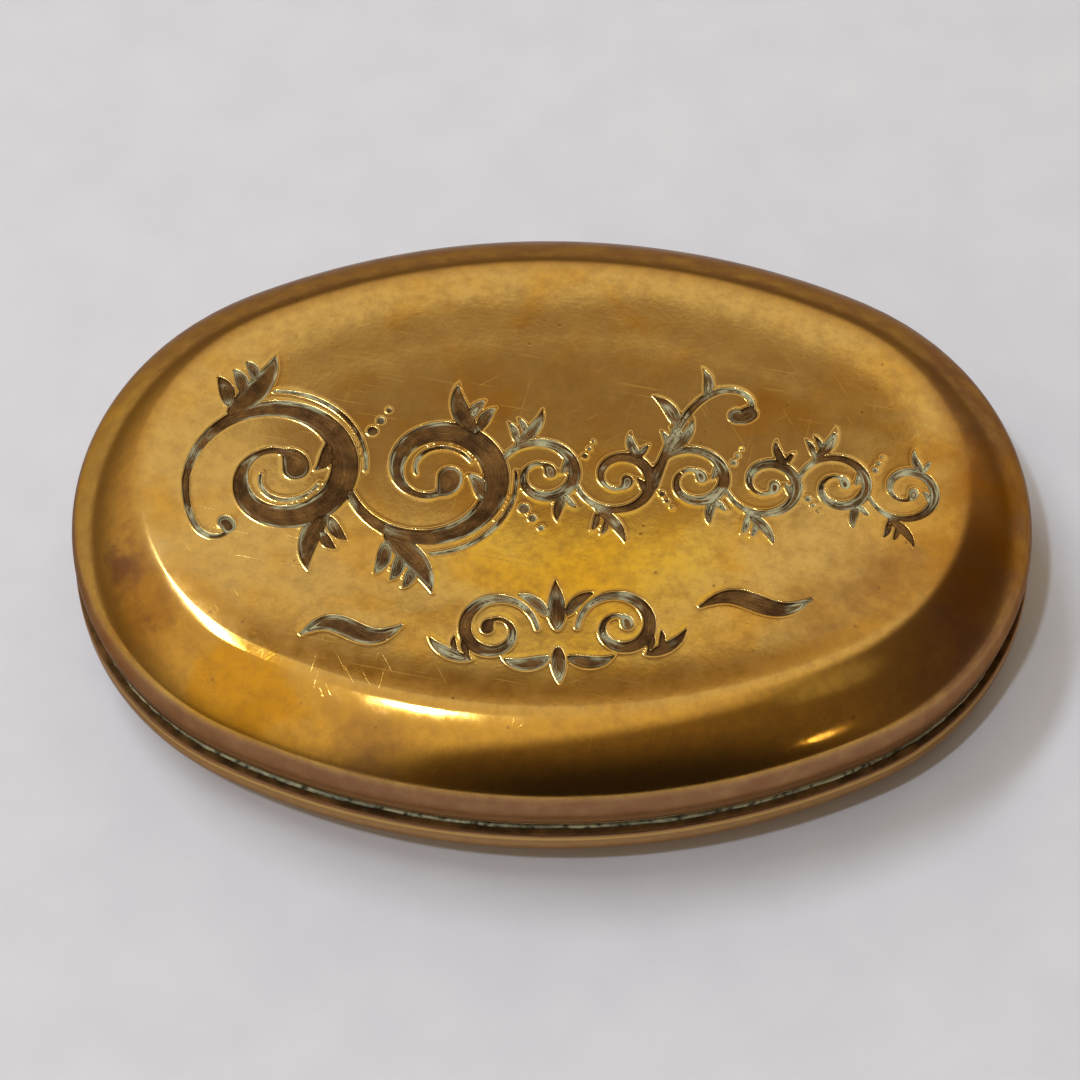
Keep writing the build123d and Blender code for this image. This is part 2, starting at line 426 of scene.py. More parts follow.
def leaf(root, heading, reach, bend, half_width):
    """A lobe that bends more towards its tip: heading + bend s^1.5, half-width as s^0.8 (1 - s)^1.1."""
    s = np.linspace(0.0, 1.0, 26)
    shape = s**0.8 * (1 - s) ** 1.1
    return bent_line(root, heading, bend * s**1.5, reach), half_width * shape / shape.max() + 0.07


def acanthus(root, heading, reach, bend, half_width, side, lobes):
    """A long leaf, and lobes that spring from one side of it and curl away, each shorter and turned out less."""
    main = leaf(root, heading, reach, bend, half_width)
    strokes = [main]
    for lobe in range(lobes):
        share = 0.1 + 0.24 * lobe
        turn = heading + bend * share**1.5
        root = main[0][int(share * 25)] + side * 0.55 * half_width * np.array([-sin(turn), cos(turn)])
        turn += side * radians(50 - 6 * lobe)
        strokes.append(leaf(root, turn, reach * (0.46 - 0.07 * lobe), side * 0.8, half_width * (0.62 - 0.08 * lobe)))
    return strokes


def tendril(root, heading, reach, bend, curl, half_width):
    """A thin shoot that curls up at its tip: heading + bend s + curl s^4.5, with a bead at the end."""
    s = np.linspace(0.0, 1.0, 48)
    widths = half_width * (1 - 0.45 * s)
    widths[-4:] = half_width * 1.7
    return bent_line(root, heading, bend * s + curl * s**4.5, reach), widths


def flourish(centre, half_length, rise, half_width):
    """A reversed curve, thick in the middle and thin at both ends: y = rise sin(2 pi s) on a climbing line."""
    s = np.linspace(0.0, 1.0, 40)
    x = centre[0] + half_length * (2 * s - 1)
    y = centre[1] + rise * np.sin(2 * pi * s) + 0.28 * rise * (2 * s - 1)
    shape = np.sin(pi * np.clip(s, 0.02, 0.98)) ** 0.8
    return np.stack([x, y], -1), half_width * shape + 0.12


def pearl(x, y, radius):
    """A round punch mark."""
    return np.array([(x, y), (x + 0.001, y)]), np.array([radius, radius])


def scroll_leaves(scroll, bold):
    """Leaves of one scroll: two on the outside of its stem, that peel off in the way of growth, and one inside."""
    strokes = []
    side = -scroll.sign
    # Share of a turn, length in radii, degrees outwards, bend, width as a share of the stem's, and lobes
    for share, size, outwards, bend, wide, lobes in (
        (0.15, 0.95 if bold else 1.15, 2, 0.75, 0.85, 3 if bold else 2),
        (0.62, 0.8, 6, 0.9, 0.7, 2 if bold else 1),
    ):
        root, heading = scroll_point(scroll, share, 0.5 * scroll.thick)
        heading += side * radians(outwards)
        half_width = scroll.thick * wide
        strokes += acanthus(root, heading, scroll.radius * size, side * bend, half_width, side, lobes)
    root, heading = scroll_point(scroll, 0.4, -0.6 * scroll.thick)
    heading -= side * radians(34)
    strokes.append(leaf(root, heading, scroll.radius * 0.42, -side * 1.1, scroll.thick * 0.5))
    return strokes


def running_scroll():
    """A running scroll of foliage: scrolls that grow out of each other, two bold ones and then small ones.

    Each starts where the one before has turned halfway, and winds the other way. Three pearls fill each gap
    between two scrolls. A tendril ends the stem on the left, and a tall leafy shoot rises from the small scrolls.
    """
    strokes = []
    (x, y), sign = FIRST_SCROLL, -1.0
    for index, (radius, thick) in enumerate(SCROLLS):
        bold = index < BOLD_SCROLLS
        scroll = SimpleNamespace(x=x + radius, y=y, radius=radius, thick=thick, start=pi, sign=sign)
        strokes += [scroll_stem(scroll)] + scroll_leaves(scroll, bold)
        if bold:
            strokes.append(hairline(scroll, 0.24, 0.5, 0.55 + thick, 0.26))
            strokes.append(hairline(scroll, 0.55, 1.0, -0.75 - 0.8 * thick, 0.24))
        x = scroll_point(scroll, 0.5)[0][0]
        first_x, step_x, first_y, step_y, size = BOLD_PEARLS if bold else SMALL_PEARLS
        if index < len(SCROLLS) - 1:
            for step in range(PEARLS):
                pearl_x = x + (first_x + step * step_x) * radius
                pearl_y = y - sign * (first_y + step * step_y) * radius
                strokes.append(pearl(pearl_x, pearl_y, (0.34 - 0.07 * step) * size))
        y -= SCROLL_DROP
        sign = -sign
    strokes.append(tendril((-32.2, 1.0), radians(-92), 9.6, 0.7, 3.4, 0.42))
    shoot = tendril((8.9, -1.2), radians(72), 18.0, -0.35, -4.2, 0.5)
    strokes.append(shoot)
    for index, reach, half_width in ((17, 4.2, 0.55), (28, 3.2, 0.42)):
        here, ahead = shoot[0][index : index + 2]
        heading = atan2(ahead[1] - here[1], ahead[0] - here[0])
        strokes.append(leaf(here, heading + radians(38), reach, 0.9, half_width))
    return strokes


def lower_line():
    """A flourish on each side and, between them, a bud with a pair of scrolls and leaves."""
    strokes = [flourish((-17.7, -14.9), 4.3, 0.85, 0.85), flourish((17.2, -13.4), 4.8, 0.8, 0.8)]
    for side in (-1.0, 1.0):
        start = pi if side > 0 else 0.0
        scroll = SimpleNamespace(x=side * 5.4, y=-15.4, radius=3.7, thick=0.62, start=start, sign=-side)
        strokes.append(scroll_stem(scroll))
        strokes += acanthus((side * 7.4, -18.2), radians(90 - side * 78), 4.6, side * 0.9, 0.5, side, 2)
        strokes.append(leaf((side * 0.7, -18.2), radians(270 + side * 62), 4.4, side * 1.2, 0.6))
        strokes.append(leaf((side * 0.8, -14.2), radians(90 - side * 28), 3.6, -side * 0.9, 0.5))
    strokes.append(leaf((0.0, -15.6), radians(90), 5.0, 0.0, 0.75))
    strokes.append(leaf((0.0, -17.2), radians(270), 3.6, 0.0, 0.6))
    return strokes


def turned(strokes, slope):
    """The strokes turned about the middle of the panel by the slope of the lines."""
    turn = np.array([[cos(slope), sin(slope)], [-sin(slope), cos(slope)]])
    return [(points @ turn, widths) for points, widths in strokes]


def edge_distance(x, y, strokes, far):
    """Signed distance to the nearest cut's edge, negative inside, the unit direction away, and two values of the cut.

    For each segment of a stroke: the distance to its nearest point, less the half-width there. The least one holds,
    up to far. The two values are the cut's half-width there, and how far along the stroke the point lies.
    """
    distance = np.full(x.shape, far)
    half_width = np.ones(x.shape)
    along = np.zeros(x.shape)
    away = np.zeros(x.shape + (2,))
    here = np.stack([x, y], -1)
    for points, widths in strokes:
        margin = far + widths.max()
        low, high = points.min(0) - margin, points.max(0) + margin
        near = np.flatnonzero(((here > low) & (here < high)).all(-1))
        if near.size == 0:
            continue
        start, step = points[:-1], np.diff(points, axis=0)
        lengths = np.hypot(step[:, 0], step[:, 1])
        before = np.cumsum(lengths) - lengths
        from_start = here[near][:, None, :] - start
        share = (from_start * step).sum(-1) / np.maximum((step * step).sum(-1), 1e-12)
        share = np.clip(share, 0.0, 1.0)
        gap = from_start - share[..., None] * step
        reach = np.hypot(gap[..., 0], gap[..., 1])
        width = widths[:-1] + share * np.diff(widths)
        to_edge = reach - width
        best = to_edge.argmin(1)
        rows = np.arange(near.size)
        nearer = to_edge[rows, best] < distance[near]
        chosen = near[nearer]
        distance[chosen] = to_edge[rows, best][nearer]
        away[chosen] = (gap[rows, best] / np.maximum(reach[rows, best], 1e-6)[:, None])[nearer]
        half_width[chosen] = width[rows, best][nearer]
        along[chosen] = (before[best] + share[rows, best] * lengths[best])[nearer]
    return distance, away, half_width, along


def settle_on_edges(x, y, distance, away, wall):
    """Moves grid points that lie near a cut's edge, or near the foot of its wall, exactly onto it."""
    target = np.where(distance > -wall / 2, 0.0, -wall)
    shift = target - distance
    moves = (np.abs(shift) < wall / 2) & (distance > -1.5 * wall)
    shift = np.where(moves, shift, 0.0)
    return x + shift * away[..., 0], y + shift * away[..., 1], distance + shift


def cut_profile(distance, cut):
    """Height of an engraved surface by distance from a cut's edge: a lip outside, a sloping wall, a hollow floor."""
    lip = cut.burr * np.exp(-((np.maximum(distance, 0.0) / cut.burr_width) ** 2))
    wall = np.clip(-distance / cut.wall, 0.0, 1.0)
    floor = cut.depth * (0.88 + 0.12 * smoothstep(-distance / 1.0))
    return lip * (1 - wall) - floor * wall


# Values that the sheet's finish reads at every point, in millimetres or as shares, where nothing else is known
CUT_FAR = 1.2
DEEP_IN_CUT = -0.6
PLAIN_SHEET = {
    "cut_edge": CUT_FAR,
    "cut_width": 1.0,
    "cut_along": 0.0,
    "inside": 0.0,
    "wear_and_highlight": 0.0,
    "below_edge": 0.0,
}


def plain_sheet(oval, points):
    """The plain values for each point of a sheet, and how far it lies inside the outline."""
    values = {name: np.full(len(points), value) for name, value in PLAIN_SHEET.items()}
    values["from_outline"] = depth_inside(oval, points[:, 0], points[:, 1])
    return values


# Lid


PANEL_INSET = 8.0
# The panel sinks inwards from its edge, and hand work leaves waves in it: height, and the run over which it grows
SINK = (0.07, 7.0)
WAVES = (0.012, 4.0)
# Long waves of hand work: height, turn per mm along and across, and start
HAND_WAVES = (
    (0.34, 0.19, 0.11, 0.6),
    (0.27, 0.13, -0.27, 2.1),
    (0.22, 0.31, 0.23, 4.0),
    (0.17, -0.37, 0.41, 1.2),
)
# The skirt's lean: how far in and down from the ridge it starts, and how far out and up from the lower edge it ends
LEAN_TOP = (0.06, 0.45)
LEAN_FOOT = (0.09, 0.7)
SKIRT_EDGE = 0.1


def panel_grid(oval, cell):
    """Plan points of the panel inside the inset oval, on a grid of two parameters u, v in -1..1.

    The square goes to a disc by X = u sqrt(1 - v^2 / 2), Y = v sqrt(1 - u^2 / 2), and the disc to the oval by
    stretching each ray to the oval's own reach. Rows behind the ornament are wider apart.
    """
    half_x = oval.end_centre + oval.end_radius - PANEL_INSET
    half_y = oval.side_radius - oval.side_centre - PANEL_INSET
    behind = 0.74
    u = np.linspace(-1.0, 1.0, int(2 * half_x / cell) + 1)
    v_front = np.linspace(-1.0, behind, int((1 + behind) * half_y / cell) + 1)
    v_back = np.linspace(behind, 1.0, 11)[1:]
    u, v = np.meshgrid(u, np.concatenate([v_front, v_back]))
    disc_x = u * np.sqrt(1 - v * v / 2)
    disc_y = v * np.sqrt(1 - u * u / 2)
    normal, reach = normal_towards(oval, half_x * disc_x, half_y * disc_y, PANEL_INSET)
    radius = np.minimum(np.hypot(disc_x, disc_y), 1.0)
    towards = np.arctan2(half_y * disc_y, half_x * disc_x)
    return radius * reach * np.cos(towards), radius * reach * np.sin(towards), normal


def square_faces(grid, z):
    """Triangles of a grid. Each square is split along the diagonal whose ends differ less in height.

    A cut's edge, which runs slantwise over the squares, then stays one line.
    """
    a, b, c, d = grid[:-1, :-1], grid[:-1, 1:], grid[1:, 1:], grid[1:, :-1]
    first = np.abs(z[a] - z[c]) <= np.abs(z[b] - z[d])
    along = np.stack([a, b, c, a, c, d], -1)
    across = np.stack([a, b, d, b, c, d], -1)
    return np.where(first[..., None], along, across).reshape(-1, 3).tolist()


def halving_faces(row, outer):
    """Triangles between a closed row and the row round it, which has half as many vertices."""
    here, middle, ahead = row[0::2], row[1::2], np.roll(row, -1)[1::2]
    outer_ahead = np.roll(outer, -1)
    corners = [here, outer, middle, middle, outer, outer_ahead, middle, outer_ahead, ahead]
    return np.stack(corners, -1).reshape(-1, 3).tolist()


def rim_of_grid(shape):
    """Vertex numbers round a grid's edge, anticlockwise, starting at its front left corner."""
    numbers = np.arange(shape[0] * shape[1]).reshape(shape)
    sides = [numbers[0, :-1], numbers[:-1, -1], numbers[-1, :0:-1], numbers[:0:-1, 0]]
    return np.concatenate(sides)


def hand_work(x, y):
    """Slow unevenness that raising and years of polishing leave in a sheet: a sum of a few long waves, up to 1."""
    return sum(height * np.sin(along * x + across * y + start) for height, along, across, start in HAND_WAVES)


def lid_rows(sizes):
    """Profile rows of the lid below the panel grid, and how many of them are outside.

    They run down shoulder, skirt and lower edge, then back up the inner face.
    """
    outer = shoulder_rows(sizes, 0.0)[::-1]
    inner = shoulder_rows(sizes, sizes.sheet)
    out, low = -sizes.ridge_inset - sizes.skirt_lean, sizes.lid_bottom
    back, edge = out - sizes.sheet, SKIRT_EDGE
    outer += [
        (-sizes.ridge_inset - LEAN_TOP[0], sizes.ridge_height - LEAN_TOP[1]),
        (out + LEAN_FOOT[0], low + LEAN_FOOT[1]),
        (out, low + edge),
        (out - 0.3 * edge, low + 0.3 * edge),
        (out - edge, low),
    ]
    inside = [
        (back + edge, low),
        (back + 0.3 * edge, low + 0.3 * edge),
        (back, low + edge),
        (back + LEAN_FOOT[0], low + LEAN_FOOT[1]),
    ]
    return outer + inside + inner[::3] + [inner[-1]], len(outer)


def build_lid(settings):
    """One closed sheet: the engraved panel grid, then closed rows over shoulder and skirt and under to a pole."""
    sizes, hinge, oval = box_shapes(settings)
    cut = in_millimetres(settings.engraving)
    grid_x, grid_y, grid_normal = panel_grid(oval, cut.cell)
    x, y = grid_x.ravel(), grid_y.ravel()
    strokes = turned(running_scroll() + lower_line(), cut.slope)
    distance, away, half_width, along = edge_distance(x, y, strokes, CUT_FAR)
    x, y, distance = settle_on_edges(x, y, distance, away, cut.wall)
    depth = depth_inside(oval, x, y)
    sunk = SINK[0] * smoothstep((depth - PANEL_INSET) / SINK[1])
    waves = WAVES[0] * hand_work(x, y) * smoothstep((depth - PANEL_INSET) / WAVES[1])
    z = crown_height(sizes, depth, 0.0) - sunk + waves + cut_profile(distance, cut)
    panel = np.stack([x, y, z], -1)

    rim = rim_of_grid(grid_x.shape)
    normals = align_columns(oval, hinge, grid_normal.ravel()[rim[::2]], 1)
    rows, outer_rows = lid_rows(sizes)
    offsets = np.array([offset for offset, _ in rows])[:, None]
    heights = np.array([height for _, height in rows])[:, None] + 0.0 * normals
    ring_x, ring_y = outline(oval, normals[None, :], offsets)
    heights = clear_of_barrel(oval, hinge, normals, ring_y, heights, 1, sizes.lid_bottom, sizes.ridge_height)
    ring = np.stack([ring_x, ring_y, heights], -1)

    # Under the panel: rows that go in to a narrow oval, that oval drawn in once more, and the pole
    narrow, drawn_in = 4.0, 0.45
    under_offsets = np.linspace(rows[-1][0], narrow - sizes.end_radius, 5)[1:, None]
    under_x, under_y = outline(oval, normals[None, :], under_offsets)
    under_z = crown_height(sizes, -under_offsets, sizes.sheet) + 0.0 * under_x
    under = np.stack([under_x, under_y, under_z], -1)
    middle = drawn_in * under[-1:]
    middle[..., 2] = crown_height(sizes, sizes.end_radius, sizes.sheet)
    pole = np.array([[0.0, 0.0, middle[0, 0, 2]]])

    bands = np.concatenate([ring, under, middle]).reshape(-1, 3)
    points = np.concatenate([panel, bands, pole])
    first = len(panel)
    numbers = first + np.arange(len(bands)).reshape(-1, len(normals))
    faces = square_faces(np.arange(first).reshape(grid_x.shape), z)
    faces += halving_faces(rim, numbers[0]) + band_faces(numbers)
    faces += fan_faces(numbers[-1], len(points) - 1, False)

    values = plain_sheet(oval, points)
    values["cut_edge"][:first] = distance
    values["cut_width"][:first] = half_width
    values["cut_along"][:first] = along
    values["inside"][first + outer_rows * len(normals) :] = 1.0
    # Painted shade, partly dirt: the lid's lower edge, over the joint, takes the dark oxide of a cut's floor.
    lower_edge = (points[:, 2] < sizes.lid_bottom + 1.2 * SKIRT_EDGE) & (values["inside"] == 0)
    values["cut_edge"][lower_edge] = DEEP_IN_CUT
    # Painted shade: below_edge is small at the skirt's top, where the finish paints the film brown.
    below = np.clip((sizes.ridge_height - points[:, 2]) / (sizes.ridge_height - sizes.lid_bottom), 0.0, 1.0)
    values["below_edge"] = below * (1 - values["inside"])
    piece = make_piece("lid_sheet", points, faces, values)
    return dress(piece, "lid", "polished_brass", polished_brass(settings.finishes), "lid_shell")


# Case


# Breaks of the ledge's lower corner and of its inner edge. At the hinge, where there is no ledge, its rows run up the
# plain wall: how far the first is below the ledge, and their step.
LEDGE_CORNER = 0.1
LEDGE_EDGE = 0.06
PLAIN_ROWS = (0.3, 0.08)
# Rows below the rim that carry its rubbed line, which is also a painted highlight, and the line's middle below the
# rim and its half-width
RIM_ROWS = (0.45, 0.6, 0.75, 0.95)
RUBBED_AND_LIT_LINE = (0.6, 0.22)
# The film's brown edge, painted shade along the top of the case wall: its least share, and how far below the rim the
# film is pale
FILM_SHADE_EDGE = (0.12, 1.5)
# Dirt and painted shade in the joint lie on the ledge, from this far inside the outline to the collar
JOINT_DIRT_AND_SHADE = (0.14, 1.3)
# Height above which the back wall is drawn down to clear the barrel
HELD_WALL = 6.8
# Rings of floor and foot between pole and wall, as shares of the way out
FLOOR_RINGS = (0.15, 0.4, 0.65, 0.85, 0.96)


def case_rows(sizes):
    """Profile rows of the case from its inner floor up, over ledge and rim, and down outside to its foot.

    There are two sets, with the ledge and without it for the hinge, and the number of rows up to the rim.
    """
    top = sizes.case_height
    free = arc_rows((0.0, 0.0), 0.0, CASE_BELLY)
    drop = -free[-1][1]
    outer = arc_rows((0.0, drop), 0.0, CASE_BELLY)
    inner_steps = [(radius - sizes.sheet, last, count) for radius, last, count in CASE_BELLY]
    inner = arc_rows((-sizes.sheet, drop), 0.0, inner_steps)[::-1]
    start = inner + [(-sizes.sheet, inner[-1][1] + 0.25)]
    low = top - sizes.sheet
    ledge = [
        (-sizes.sheet, low - LEDGE_CORNER),
        (-sizes.sheet - LEDGE_CORNER, low),
        (-sizes.ledge_inner + LEDGE_EDGE, low),
        (-sizes.ledge_inner, low + LEDGE_EDGE),
        (-sizes.ledge_inner, top - LEDGE_EDGE),
        (-sizes.ledge_inner + LEDGE_EDGE, top),
    ]
    first, step = PLAIN_ROWS
    plain_wall = [(-sizes.sheet, low - first + step * row) for row in range(len(ledge))]
    rim = [(-sizes.sheet, top)]
    for turn in np.radians(np.linspace(90.0, 0.0, 7)):
        centre = (-sizes.rim_round, top - sizes.rim_round)
        rim.append((centre[0] + sizes.rim_round * cos(turn), centre[1] + sizes.rim_round * sin(turn)))
    end = rim + [(0.0, top - below) for below in RIM_ROWS] + outer
    return start + ledge + end, start + plain_wall + end, len(start) + len(ledge)


def floor_rings(height, shares, row):
    """Rings at one height, each the given row drawn in to a share of its way out from the middle."""
    rings = row[None, :, :] * np.array(shares)[:, None, None]
    rings[..., 2] = height
    return rings


def build_case(settings):
    """One closed sheet: a flat floor from a pole, belly, ledge and rim, and back under the foot to a second pole."""
    sizes, hinge, oval = box_shapes(settings)
    side = np.linspace(oval.meeting, pi - oval.meeting, 200)[1:-1]
    end = np.linspace(-oval.meeting, oval.meeting, 160)
    normals = np.sort(np.concatenate([side, side + pi, end, end + pi]) % (2 * pi))
    normals = align_columns(oval, hinge, normals, 0)
    closed, opened, outside_from = case_rows(sizes)
    column_x, column_y = outline(oval, normals, 0.0)
    at_hinge = (np.abs(column_x) < hinge.span / 2) & (column_y > 0)
    offsets = np.where(at_hinge, np.array(opened)[:, 0:1], np.array(closed)[:, 0:1])
    heights = np.where(at_hinge, np.array(opened)[:, 1:2], np.array(closed)[:, 1:2])
    x, y = outline(oval, normals[None, :], offsets)
    heights = clear_of_barrel(oval, hinge, normals, y, heights, 0, sizes.case_height, HELD_WALL)
    wall = np.stack([x, y, heights], -1)

    inner_floor = floor_rings(sizes.sheet, FLOOR_RINGS, wall[0])
    foot = floor_rings(0.0, FLOOR_RINGS[::-1], wall[-1])
    bands = np.concatenate([inner_floor, wall, foot])
    count = bands.shape[1]
    points = np.concatenate([bands.reshape(-1, 3), [[0.0, 0.0, sizes.sheet], [0.0, 0.0, 0.0]]])
    numbers = np.arange(bands.shape[0] * count).reshape(-1, count)
    faces = band_faces(numbers)
    faces += fan_faces(numbers[0], len(points) - 2, True)
    faces += fan_faces(numbers[-1], len(points) - 1, False)

    values = plain_sheet(oval, points)
    values["inside"][: (len(FLOOR_RINGS) + outside_from) * count] = 1.0
    values["inside"][-2] = 1.0
    outside = 1 - values["inside"]
    below_rim = sizes.case_height - points[:, 2]
    # Painted highlight on partly rubbed metal: a band of bright brass a little below the rim.
    values["wear_and_highlight"] = np.exp(-(((below_rim - RUBBED_AND_LIT_LINE[0]) / RUBBED_AND_LIT_LINE[1]) ** 2)) * outside
    # Painted shade: right under the rim, below_edge stays at the edge's least share, where the finish paints the film
    # brown.
    values["below_edge"] = np.clip(below_rim / FILM_SHADE_EDGE[1], FILM_SHADE_EDGE[0], 1.0) * outside
    in_from_edge = values["from_outline"]
    # Painted shade, partly dirt: the ledge in the joint, under the lid's skirt, takes the dark oxide of a cut's
    # floor.
    on_ledge = (in_from_edge > JOINT_DIRT_AND_SHADE[0]) & (in_from_edge < JOINT_DIRT_AND_SHADE[1]) & (below_rim < LEDGE_CORNER)
    values["cut_edge"][on_ledge] = DEEP_IN_CUT
    piece = make_piece("case_sheet", points, faces, values)
    return dress(piece, "case", "polished_brass", polished_brass(settings.finishes), "case_shell")


# Collar and solder


def open_path(oval, offsets, gap_half, count):
    """Normal angles along the oval from one side of the hinge round the front to the other, for each offset."""
    share = np.linspace(0.0, 1.0, count)[:, None]
    start = np.arccos(-gap_half / (oval.side_radius + offsets))[None, :]
    return start + share * (3 * pi - 2 * start)


# Filing waves in the collar's upper edge, and lumps in the bead: height, turn from end to end, start, and the lumps'
# turn round the bead. The waves stand in millimetres, and the lumps are shares of the bead's radius.
FILED_WAVES = ((0.035, 41, 0.0), (0.025, 97, 1.0))
# How far the waves lie below the collar's full height, and how far down its upper edge is rubbed bright
FILED_DOWN = 0.06
RUBBED_TOP = 0.3
LUMPS = ((0.1, 61, 0.0, 0), (0.1, 143, 1.3, 0), (0.08, 311, 0.4, 1), (0.07, 617, 2.0, -1))
# The bead's radius, its centre out from the collar and above the ledge, and how far it sinks into both
BEAD_RADIUS = 0.29
BEAD_OUT = 0.22
BEAD_UP = 0.1
BEAD_SUNK = 0.02


def build_collar(settings):
    """A strip with rounded edges carried round the oval, and a lumpy bead of solder in the corner at its foot.

    The strip's section is four quarter circles, and its upper edge is filed down by a sum of sine waves. The bead's
    section is a circle whose radius varies by a sum of sine waves, cut flat where it meets collar and ledge.
    """
    sizes, hinge, oval = box_shapes(settings)
    gap_half = hinge.span / 2 + hinge.collar_gap
    outer, inner = -sizes.ledge_inner, -sizes.ledge_inner - sizes.collar_thickness
    edge, stations = 0.12, 520
    section = []
    for corner_x, corner_y, first in (
        (outer - edge, sizes.collar_high - edge, 0.0),
        (inner + edge, sizes.collar_high - edge, 90.0),
        (inner + edge, sizes.collar_low + edge, 180.0),
        (outer - edge, sizes.collar_low + edge, 270.0),
    ):
        for turn in np.radians(np.linspace(first, first + 90.0, 4)):
            section.append((corner_x + edge * cos(turn), corner_y + edge * sin(turn)))
    section = np.array(section)
    normals = open_path(oval, section[:, 0], gap_half, stations)
    x, y = outline(oval, normals, section[None, :, 0])
    along = np.linspace(0.0, 1.0, stations)[:, None]
    filed = sum(high * np.sin(turn * along + start) for high, turn, start in FILED_WAVES) - FILED_DOWN
    upper = section[None, :, 1] > sizes.collar_high - 2 * edge
    z = section[None, :, 1] + np.where(upper, filed, 0.0)
    points = np.stack([x, y, z], -1).reshape(-1, 3)
    attributes = {"wear_and_highlight": np.exp(-(((points[:, 2] - sizes.collar_high) / RUBBED_TOP) ** 2))}
    collar = make_piece("collar_strip", points, bar_faces(len(section), stations), attributes)
    dress(collar, "case", "collar_brass", satin_brass(settings.finishes), "inner_collar")

    stations = 1500
    around = np.linspace(0.0, 2 * pi, 12, endpoint=False)
    along = np.linspace(0.0, 1.0, stations)[:, None]
    lumps = (high * np.sin(turn * along + start + twist * around) for high, turn, start, twist in LUMPS)
    radius = BEAD_RADIUS * sum(lumps, 1.0)
    offset = np.maximum(outer + BEAD_OUT + radius * np.cos(around), outer - BEAD_SUNK)
    height = np.maximum(sizes.case_height + BEAD_UP + radius * np.sin(around), sizes.case_height - BEAD_SUNK)
    normals = open_path(oval, np.full(len(around), outer), gap_half, stations)
    x, y = outline(oval, normals, offset)
    points = np.stack([x, y, height], -1).reshape(-1, 3)
    bead = make_piece("solder_bead", points, bar_faces(len(around), stations), {}, 80.0)
    dress(bead, "case", "joint_solder", old_solder(settings.finishes), "collar_solder")


# Hinge


def build_hinge(settings):
    """The frame's own bearers, knuckles and pin, in their real finishes."""
    brass = tarnished_brass(settings.finishes)
    wire = drawn_wire(settings.finishes)
    for name, node in frame["nodes"].items():
        if "knuckle" in name or "bearer" in name:
            node.material_slots[0].material = brass
        if name == "hinge_pin":
            node.material_slots[0].material = wire


# Materials


MATHS, SPREAD, MIX, VECTOR = "ShaderNodeMath", "ShaderNodeMapRange", "ShaderNodeMix", "ShaderNodeVectorMath"
NOISE, ATTRIBUTE, BUMP = "ShaderNodeTexNoise", "ShaderNodeAttribute", "ShaderNodeBump"
PRINCIPLED, OUTPUT = "ShaderNodeBsdfPrincipled", "ShaderNodeOutputMaterial"
# Settings that come up often. Inputs 1 and 2 of a SPREAD are the range read, and 3 and 4 the range given, each 0 to 1
# unless set. Input 0 of a MIX is the share of its second colour, and 6 and 7 are the two colours.
SMOOTH = {"interpolation_type": "SMOOTHSTEP"}
TIMES, MOST, LEAST = {"operation": "MULTIPLY"}, {"operation": "MAXIMUM"}, {"operation": "MINIMUM"}
COLOURS = {"out": 2, "data_type": "RGBA"}


def add(tree, kind, inputs=None, out=0, **settings):
    """Adds a node with its settings, puts each value or link on its input, and returns one of its outputs."""
    node = tree.nodes.new(kind)
    for name, value in settings.items():
        setattr(node, name, value)
    for name, value in (inputs or {}).items():
        if isinstance(value, bpy.types.NodeSocket):
            tree.links.new(value, node.inputs[name])
        else:
            node.inputs[name].default_value = value
    return node.outputs[out] if node.outputs else None


def new_material(name):
    """An empty node material, add() for its own tree, and the place on the piece in metres."""
    material = bpy.data.materials.new(name)
    material.use_nodes = True
    material.node_tree.nodes.clear()
    put = partial(add, material.node_tree)
    return material, put, put("ShaderNodeTexCoord", out="Object")


def per_mm(size):
    """Texture scale at which a pattern's features are about that many millimetres across."""
    return 1 / (size * MM)


# Height of a stain's middle, about that of the shoulder, so that what lies far below it stays clean
STAIN_HEIGHT = 0.015


def stain(put, place, share, spots):
    """The share, raised to each round stain's own strength at its middle: place in metres, reach and strength."""
    for x, y, reach, strength in spots:
        distance = put(VECTOR, {0: place, 1: (x, y, STAIN_HEIGHT)}, "Value", operation="DISTANCE")
        inside = put(SPREAD, {0: distance, 1: reach, 2: 0.0, 4: strength}, **SMOOTH)
        share = put(MATHS, {0: share, 1: inside}, **MOST)
    return share


# Stains on shoulder and panel: place on X and Y, reach and strength
AMBER_STAINS = (
    (0.003, -0.0105, 0.011, 0.8),
    (-0.0150, -0.0070, 0.0075, 0.9),
    (0.0135, -0.0175, 0.0075, 0.8),
    (0.029, 0.010, 0.008, 0.7),
    (0.034, -0.006, 0.010, 0.9),
    (0.0295, -0.0112, 0.0075, 1.2),
    (0.0235, -0.0137, 0.0065, 1.0),
    (-0.026, -0.021, 0.012, 1.4),
)
BROWN_STAINS = (
    (-0.0366, -0.0046, 0.0044, 0.9),
    (-0.0358, -0.0080, 0.0056, 1.6),
    (-0.0331, -0.0117, 0.0054, 1.4),
    (-0.0303, -0.0147, 0.0044, 0.9),
    (0.029, -0.0108, 0.008, 1.1),
    (0.033, -0.0066, 0.005, 0.9),
    (0.0235, -0.0140, 0.007, 0.85),
    (-0.016, -0.0252, 0.006, 0.7),
)
ORANGE_STAINS = (
    (0.0365, 0.0, 0.008, 1.05),
    (0.0385, -0.0045, 0.007, 0.85),
    (0.0345, -0.0080, 0.0065, 0.95),
    (-0.0355, -0.0120, 0.007, 0.5),
    (-0.0255, -0.0222, 0.004, 0.3),
)


